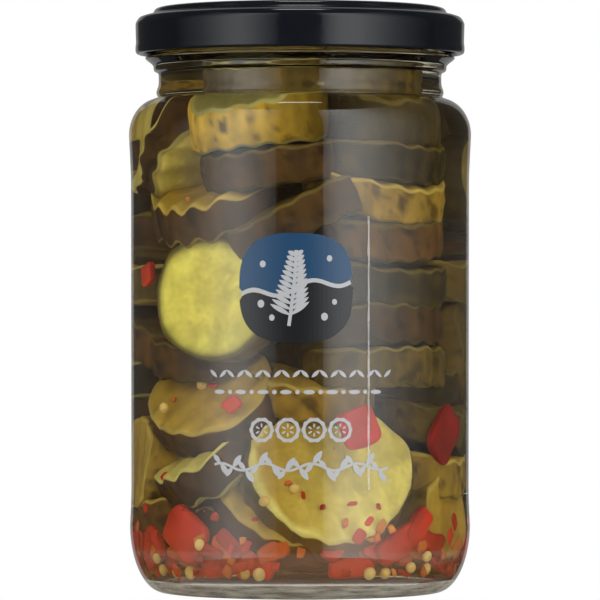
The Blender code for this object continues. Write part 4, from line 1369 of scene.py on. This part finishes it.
def build_core(material):
    """The middle behind the pieces, painted near-black as the shade deep in the heap, inside the solid's own
    spindle.
    """
    low = CORE_LOW + 0.5 * MM
    high = CORE_HIGH - 0.5 * MM
    profile = rounded([(0.0, low), (CORE_SHOWN + 2.0 * MM, low), (CORE_SHOWN, PACK_LOW), (CORE_SHOWN, high),
                       (0.0, high)], 2.0 * MM)
    dense = []
    for (r0, z0), (r1, z1) in zip(profile, profile[1:]):
        steps = max(1, int(math.hypot(r1 - r0, z1 - z0) / (2.0 * MM)))
        dense += [(r0 + (r1 - r0) * step / steps, z0 + (z1 - z0) * step / steps) for step in range(steps)]
    dense.append(profile[-1])
    core = turned("heap_core", dense[::-1], 96, [material])
    draw = random.Random(CORE_SEED)
    points = np.array([tuple(vertex.co) for vertex in core.data.vertices])
    lumps = waves(points, draw, 9.0 * MM) * 0.6 * MM - 0.6 * MM
    reach = np.maximum(np.hypot(points[:, 0], points[:, 1]), 1e-9)
    azimuth = np.degrees(np.abs(np.arctan2(points[:, 0], -points[:, 1])))
    widen = 1.0 + (CORE_BACK / CORE_SHOWN - 1.0) * smooth_step(azimuth, *CORE_WIDEN)
    share = (1.0 + lumps / np.maximum(reach, 6.0 * MM)) * widen
    points[:, 0] *= share
    points[:, 1] *= share
    core.data.vertices.foreach_set("co", points.ravel())
    base = np.array(CORE_TONE) * (1.0 + 0.4 * waves(points, draw, 8.0 * MM))[:, None]
    base = blended(base, np.array(LOW_TONE), low_share(points))
    paint(core, "tone", base)
    return core


# Materials

def new_material(name):
    material = bpy.data.materials.new(name)
    material.use_nodes = True
    tree = material.node_tree
    return material, tree, tree.nodes["Principled BSDF"]


def bare_tree(owner, output="ShaderNodeOutputMaterial"):
    """The node tree of a material or world, emptied down to a new output node."""
    owner.use_nodes = True
    tree = owner.node_tree
    tree.nodes.clear()
    return tree, add(tree, output)


def add(tree, kind, **values):
    """A node with the given properties and socket values; an underscore stands for a space."""
    node = tree.nodes.new(kind)
    for key, value in values.items():
        if hasattr(node, key):
            setattr(node, key, value)
        else:
            node.inputs[key.replace("_", " ")].default_value = value
    return node


def noise(tree, scale, detail=3.0, stretch=None):
    """The grey of a noise texture in the object's own metres."""
    source = add(tree, "ShaderNodeTexCoord").outputs["Object"]
    if stretch is not None:
        mapping = add(tree, "ShaderNodeMapping", Scale=stretch)
        tree.links.new(source, mapping.inputs["Vector"])
        source = mapping.outputs["Vector"]
    node = add(tree, "ShaderNodeTexNoise", Scale=scale, Detail=detail)
    tree.links.new(source, node.inputs["Vector"])
    return node.outputs["Fac"]


def mapped(tree, source, low, high, from_low=0.3, from_high=0.7):
    node = add(tree, "ShaderNodeMapRange", From_Min=from_low, From_Max=from_high, To_Min=low, To_Max=high)
    tree.links.new(source, node.inputs["Value"])
    return node.outputs["Result"]


def add_bump(tree, shader, source, distance, strength=1.0):
    bump = add(tree, "ShaderNodeBump", Distance=distance, Strength=strength)
    tree.links.new(source, bump.inputs["Height"])
    tree.links.new(bump.outputs["Normal"], shader.inputs["Normal"])


def mixed(tree, share, first, second):
    """A mix of two shaders by the share that an output gives."""
    mix = add(tree, "ShaderNodeMixShader")
    tree.links.new(share, mix.inputs["Fac"])
    tree.links.new(first.outputs[0], mix.inputs[1])
    tree.links.new(second.outputs[0], mix.inputs[2])
    return mix


def mixed_tone(tree, share, low, high):
    """A colour between two by the share that an output gives."""
    tone = add(tree, "ShaderNodeMix", data_type="RGBA")
    tone.inputs[6].default_value = (*low, 1.0)
    tone.inputs[7].default_value = (*high, 1.0)
    tree.links.new(share, tone.inputs[0])
    return tone.outputs[2]


def either_ray(tree, first, second):
    """1 for rays of two kinds, named as the light path's outputs, and 0 for the others."""
    path = add(tree, "ShaderNodeLightPath")
    larger = add(tree, "ShaderNodeMath", operation="MAXIMUM")
    tree.links.new(path.outputs[first], larger.inputs[0])
    tree.links.new(path.outputs[second], larger.inputs[1])
    return larger.outputs[0]


def clear_material(name, kind, index, tint, waviness=0.0, shade=None, cover=None):
    """Clear glass or liquid, which lets the lamps' light straight through to what stands behind it."""
    material = bpy.data.materials.new(name)
    tree, out = bare_tree(material)
    body = add(tree, kind, Color=(*tint, 1.0), IOR=index, Roughness=0.0)
    if waviness:
        add_bump(tree, body, noise(tree, 60.0, 2.0), waviness)
    if cover is not None:
        body = cover(tree, body)
    through = add(tree, "ShaderNodeBsdfTransparent", Color=(*(shade or tint), 1.0))
    mix = mixed(tree, either_ray(tree, "Is Shadow Ray", "Is Diffuse Ray"), body, through)
    tree.links.new(mix.outputs[0], out.inputs["Surface"])
    return material


def frosted(tree, body):
    """The streaky stipple that scatters a little light."""
    frost = add(tree, "ShaderNodeBsdfDiffuse", Color=(*FROST_TONE, 1.0))
    return mixed(tree, mapped(tree, noise(tree, 160.0, 3.0, (1.0, 1.0, 9.0)), *FROST_SHARE), body, frost)


def clouded(tree, body):
    """The cloudiness of the brine, by the height above the floor."""
    cloud = add(tree, "ShaderNodeBsdfDiffuse", Color=(*HAZE_TONE, 1.0))
    split = add(tree, "ShaderNodeSeparateXYZ")
    tree.links.new(add(tree, "ShaderNodeTexCoord").outputs["Object"], split.inputs[0])
    low, high, share = HAZE_FOOT
    return mixed(tree, mapped(tree, split.outputs["Z"], share, HAZE_SHARE, low, high), body, cloud)


def make_brine():
    material = clear_material("brine", "ShaderNodeBsdfRefraction", BRINE_INDEX, (1.0, 1.0, 1.0),
                              0.0, BRINE_SHADE, clouded)
    tree = material.node_tree
    volume = add(tree, "ShaderNodeVolumeAbsorption", Color=(*BRINE_TINT, 1.0), Density=BRINE_DENSITY)
    out = next(node for node in tree.nodes if node.type == "OUTPUT_MATERIAL")
    tree.links.new(volume.outputs["Volume"], out.inputs["Volume"])
    return material


def make_food(name, roughness, fine, coarse, depth):
    """Wet food: the painted tone broken up by two sizes of mottling."""
    material, tree, shader = new_material(name)
    tone = add(tree, "ShaderNodeAttribute", attribute_name="tone")
    small = noise(tree, fine, 4.0)
    large = noise(tree, coarse, 3.0)
    product = add(tree, "ShaderNodeMath", operation="MULTIPLY")
    tree.links.new(mapped(tree, small, 0.93, 1.07), product.inputs[0])
    tree.links.new(mapped(tree, large, 0.86, 1.14), product.inputs[1])
    shade = add(tree, "ShaderNodeVectorMath", operation="SCALE")
    tree.links.new(tone.outputs["Color"], shade.inputs[0])
    tree.links.new(product.outputs[0], shade.inputs["Scale"])
    tree.links.new(shade.outputs["Vector"], shader.inputs["Base Color"])
    tree.links.new(mapped(tree, small, roughness - 0.08, roughness + 0.1), shader.inputs["Roughness"])
    shader.inputs["IOR"].default_value = 1.4
    shader.inputs["Specular IOR Level"].default_value = 0.18
    add_bump(tree, shader, small, depth, 0.6)
    return material


def make_ink(name, colour, spread):
    material, tree, shader = new_material(name)
    mottle = noise(tree, 900.0, 2.0)
    low = [value * (1.0 - spread) for value in colour]
    high = [min(1.0, value * (1.0 + spread)) for value in colour]
    tree.links.new(mixed_tone(tree, mottle, low, high), shader.inputs["Base Color"])
    shader.inputs["Roughness"].default_value = 0.35
    add_bump(tree, shader, mottle, 0.005 * MM, 0.5)
    return material


def make_film(name, haze, white):
    """Clear film: it passes the view unbent, with a faint milky haze."""
    material = bpy.data.materials.new(name)
    tree, out = bare_tree(material)
    clear = add(tree, "ShaderNodeBsdfTransparent")
    milk = add(tree, "ShaderNodeBsdfDiffuse", Color=(*white, 1.0))
    mix = mixed(tree, mapped(tree, noise(tree, 180.0, 3.0), haze * 0.75, haze * 1.25), clear, milk)
    tree.links.new(mix.outputs[0], out.inputs["Surface"])
    return material


def make_lacquer():
    """The dark lacquer of the lid, with a fine peel and faint upright rubs."""
    material, tree, shader = new_material("lid_lacquer")
    peel = noise(tree, 700.0, 2.0)
    rub = noise(tree, 90.0, 4.0, (1.0, 1.0, 6.0))
    tone = mixed_tone(tree, rub, *LACQUER_TONES)
    tree.links.new(tone, shader.inputs["Base Color"])
    tree.links.new(mapped(tree, rub, 0.1, 0.16), shader.inputs["Roughness"])
    shader.inputs["Specular IOR Level"].default_value = 0.33
    add_bump(tree, shader, peel, 0.02 * MM, 0.5)
    return material


# Studio

def build_world():
    """White to the camera, dim in reflections, and soft as the light on the food."""
    world = bpy.data.worlds.new("studio")
    bpy.context.scene.world = world
    tree, out = bare_tree(world, "ShaderNodeOutputWorld")
    path = add(tree, "ShaderNodeLightPath")
    look = add(tree, "ShaderNodeBackground", Color=(1.0, 1.0, 1.0, 1.0), Strength=1.0)
    for ray, tone, strength in WORLD_LIGHT:
        other = add(tree, "ShaderNodeBackground", Color=(*tone, 1.0), Strength=strength)
        look = mixed(tree, path.outputs[ray], look, other)
    tree.links.new(look.outputs[0], out.inputs["Surface"])


def add_panel(name, glow):
    """A curved, upright panel of light whose brightness runs along the given curve."""
    columns = []
    for (start, low), (end, high) in zip(glow, glow[1:]):
        columns += [(start + (end - start) * step / 4, low + (high - low) * step / 4) for step in range(4)]
    columns.append(glow[-1])
    points = []
    for azimuth, _ in columns:
        way = heading(azimuth) * LIGHT_DISTANCE
        points += [(way.x, way.y, PANEL_FOOT), (way.x, way.y, PANEL_HEAD)]
    faces = [(low, low + 2, low + 3, low + 1) for low in range(0, 2 * len(columns) - 2, 2)]
    material = bpy.data.materials.new(name)
    tree, out = bare_tree(material)
    lamp = add(tree, "ShaderNodeEmission", Color=(*PANEL_TONE, 1.0))
    share = add(tree, "ShaderNodeAttribute", attribute_name="glow")
    strength = add(tree, "ShaderNodeMath", operation="MULTIPLY")
    strength.inputs[1].default_value = BOX_RADIANCE
    tree.links.new(share.outputs["Fac"], strength.inputs[0])
    tree.links.new(strength.outputs[0], lamp.inputs["Strength"])
    tree.links.new(lamp.outputs[0], out.inputs["Surface"])
    panel = mesh_object(name, points, faces, [material])
    shares = np.repeat([value for _, value in columns], 2)
    paint(panel, "glow", np.stack([shares] * 3, axis=1))
    panel.visible_camera = False
    panel.visible_transmission = False


def add_lamp(name, width, height, radiance, place, facing):
    lamp = bpy.data.lights.new(name, "AREA")
    lamp.shape = "RECTANGLE"
    lamp.size = width
    lamp.size_y = height
    lamp.energy = radiance * math.pi * width * height
    obj = placed(name, lamp)
    obj.location = place
    obj.rotation_euler = facing.to_track_quat("Z", "Y").to_euler()
    obj.visible_camera = False
    obj.visible_transmission = False


def build_panels():
    add_panel("panel_left", GLOW_LEFT)
    add_panel("panel_right", GLOW_RIGHT)
    sweep, share = BACK_PANEL
    width = 2.0 * LIGHT_DISTANCE * math.tan(math.radians(sweep / 2))
    behind = heading(180.0)
    middle = behind * LIGHT_DISTANCE + Vector((0.0, 0.0, (PANEL_FOOT + PANEL_HEAD) / 2))
    add_lamp("back", width, PANEL_HEAD - PANEL_FOOT, BOX_RADIANCE * share, middle, behind)
    above = Vector((0.0, 0.0, 1.0))
    add_lamp("top", TOP_SIZE, TOP_SIZE, TOP_RADIANCE, above * TOP_HEIGHT, above)


def build_floor():
    """A pale floor, bright enough to meet the white backdrop without an edge."""
    shell = bmesh.new()
    bmesh.ops.create_circle(shell, cap_ends=True, segments=64, radius=FLOOR_RADIUS)
    material = bpy.data.materials.new("floor")
    tree, out = bare_tree(material)
    paper = add(tree, "ShaderNodeBsdfDiffuse", Color=(*FLOOR_TONE, 1.0))
    bright = add(tree, "ShaderNodeEmission", Color=(1.0, 1.0, 1.0, 1.0))
    mix = mixed(tree, either_ray(tree, "Is Camera Ray", "Is Transmission Ray"), paper, bright)
    tree.links.new(mix.outputs[0], out.inputs["Surface"])
    floor = shell_object("floor", shell, material)
    floor.visible_glossy = False


def build_camera():
    camera = bpy.data.cameras.new("camera")
    camera.lens = LENS
    camera.sensor_width = SENSOR
    camera.clip_start = CLIP_START
    obj = placed("camera", camera)
    obj.location = CAMERA_PLACE
    obj.rotation_euler = (math.radians(90.0), 0.0, 0.0)
    bpy.context.scene.camera = obj
    bpy.context.scene.view_settings.view_transform = "Standard"


def build_all():
    outside = clear_material("glass", "ShaderNodeBsdfGlass", GLASS_INDEX, GLASS_TINT, GLASS_RIPPLE)
    inside = clear_material("glass_inside", "ShaderNodeBsdfRefraction", GLASS_INDEX, INNER_TINT)
    stippled = clear_material("glass_stippled", "ShaderNodeBsdfGlass", GLASS_INDEX, GLASS_TINT,
                              cover=frosted)
    film = make_film("film", 0.004, (0.8, 0.79, 0.8))
    crease = make_film("film_crease", 0.3, (0.85, 0.83, 0.82))
    white = make_ink("ink_white", (0.44, 0.44, 0.45), 0.03)
    blue = make_ink("ink_blue", (0.005, 0.048, 0.118), 0.08)
    black = make_ink("ink_black", (0.0035, 0.004, 0.0055), 0.15)
    flesh = make_food("cucumber", 0.5, 900.0, 220.0, 0.10 * MM)
    red = make_food("pepper", 0.35, 900.0, 200.0, 0.05 * MM)
    grain = make_food("mustard", 0.5, 2200.0, 500.0, 0.03 * MM)
    dark = make_food("heap", 0.6, 800.0, 120.0, 0.3 * MM)
    bubble = clear_material("bubble", "ShaderNodeBsdfGlass", 1.0 / BRINE_INDEX, (1.0, 1.0, 1.0))

    register(build_jar(outside, inside, stippled), "glass", "jar")
    register(build_lid(make_lacquer()), "lid_metal", "lid")
    for piece in (build_film(film, crease), *build_badge(blue, black, white), build_rows(white)):
        register(piece, "label_film", "label")
    shown, rest, pieces = build_slices(flesh)
    for piece in (shown, rest, build_peppers(red), build_flakes(red, pieces), build_seeds(grain, pieces),
                  build_core(dark)):
        register(piece, "pickle", "pickles")
    for piece in (build_brine(make_brine()), build_bubbles(bubble)):
        register(piece, "glass")


build_world()
build_panels()
build_floor()
build_camera()
build_all()
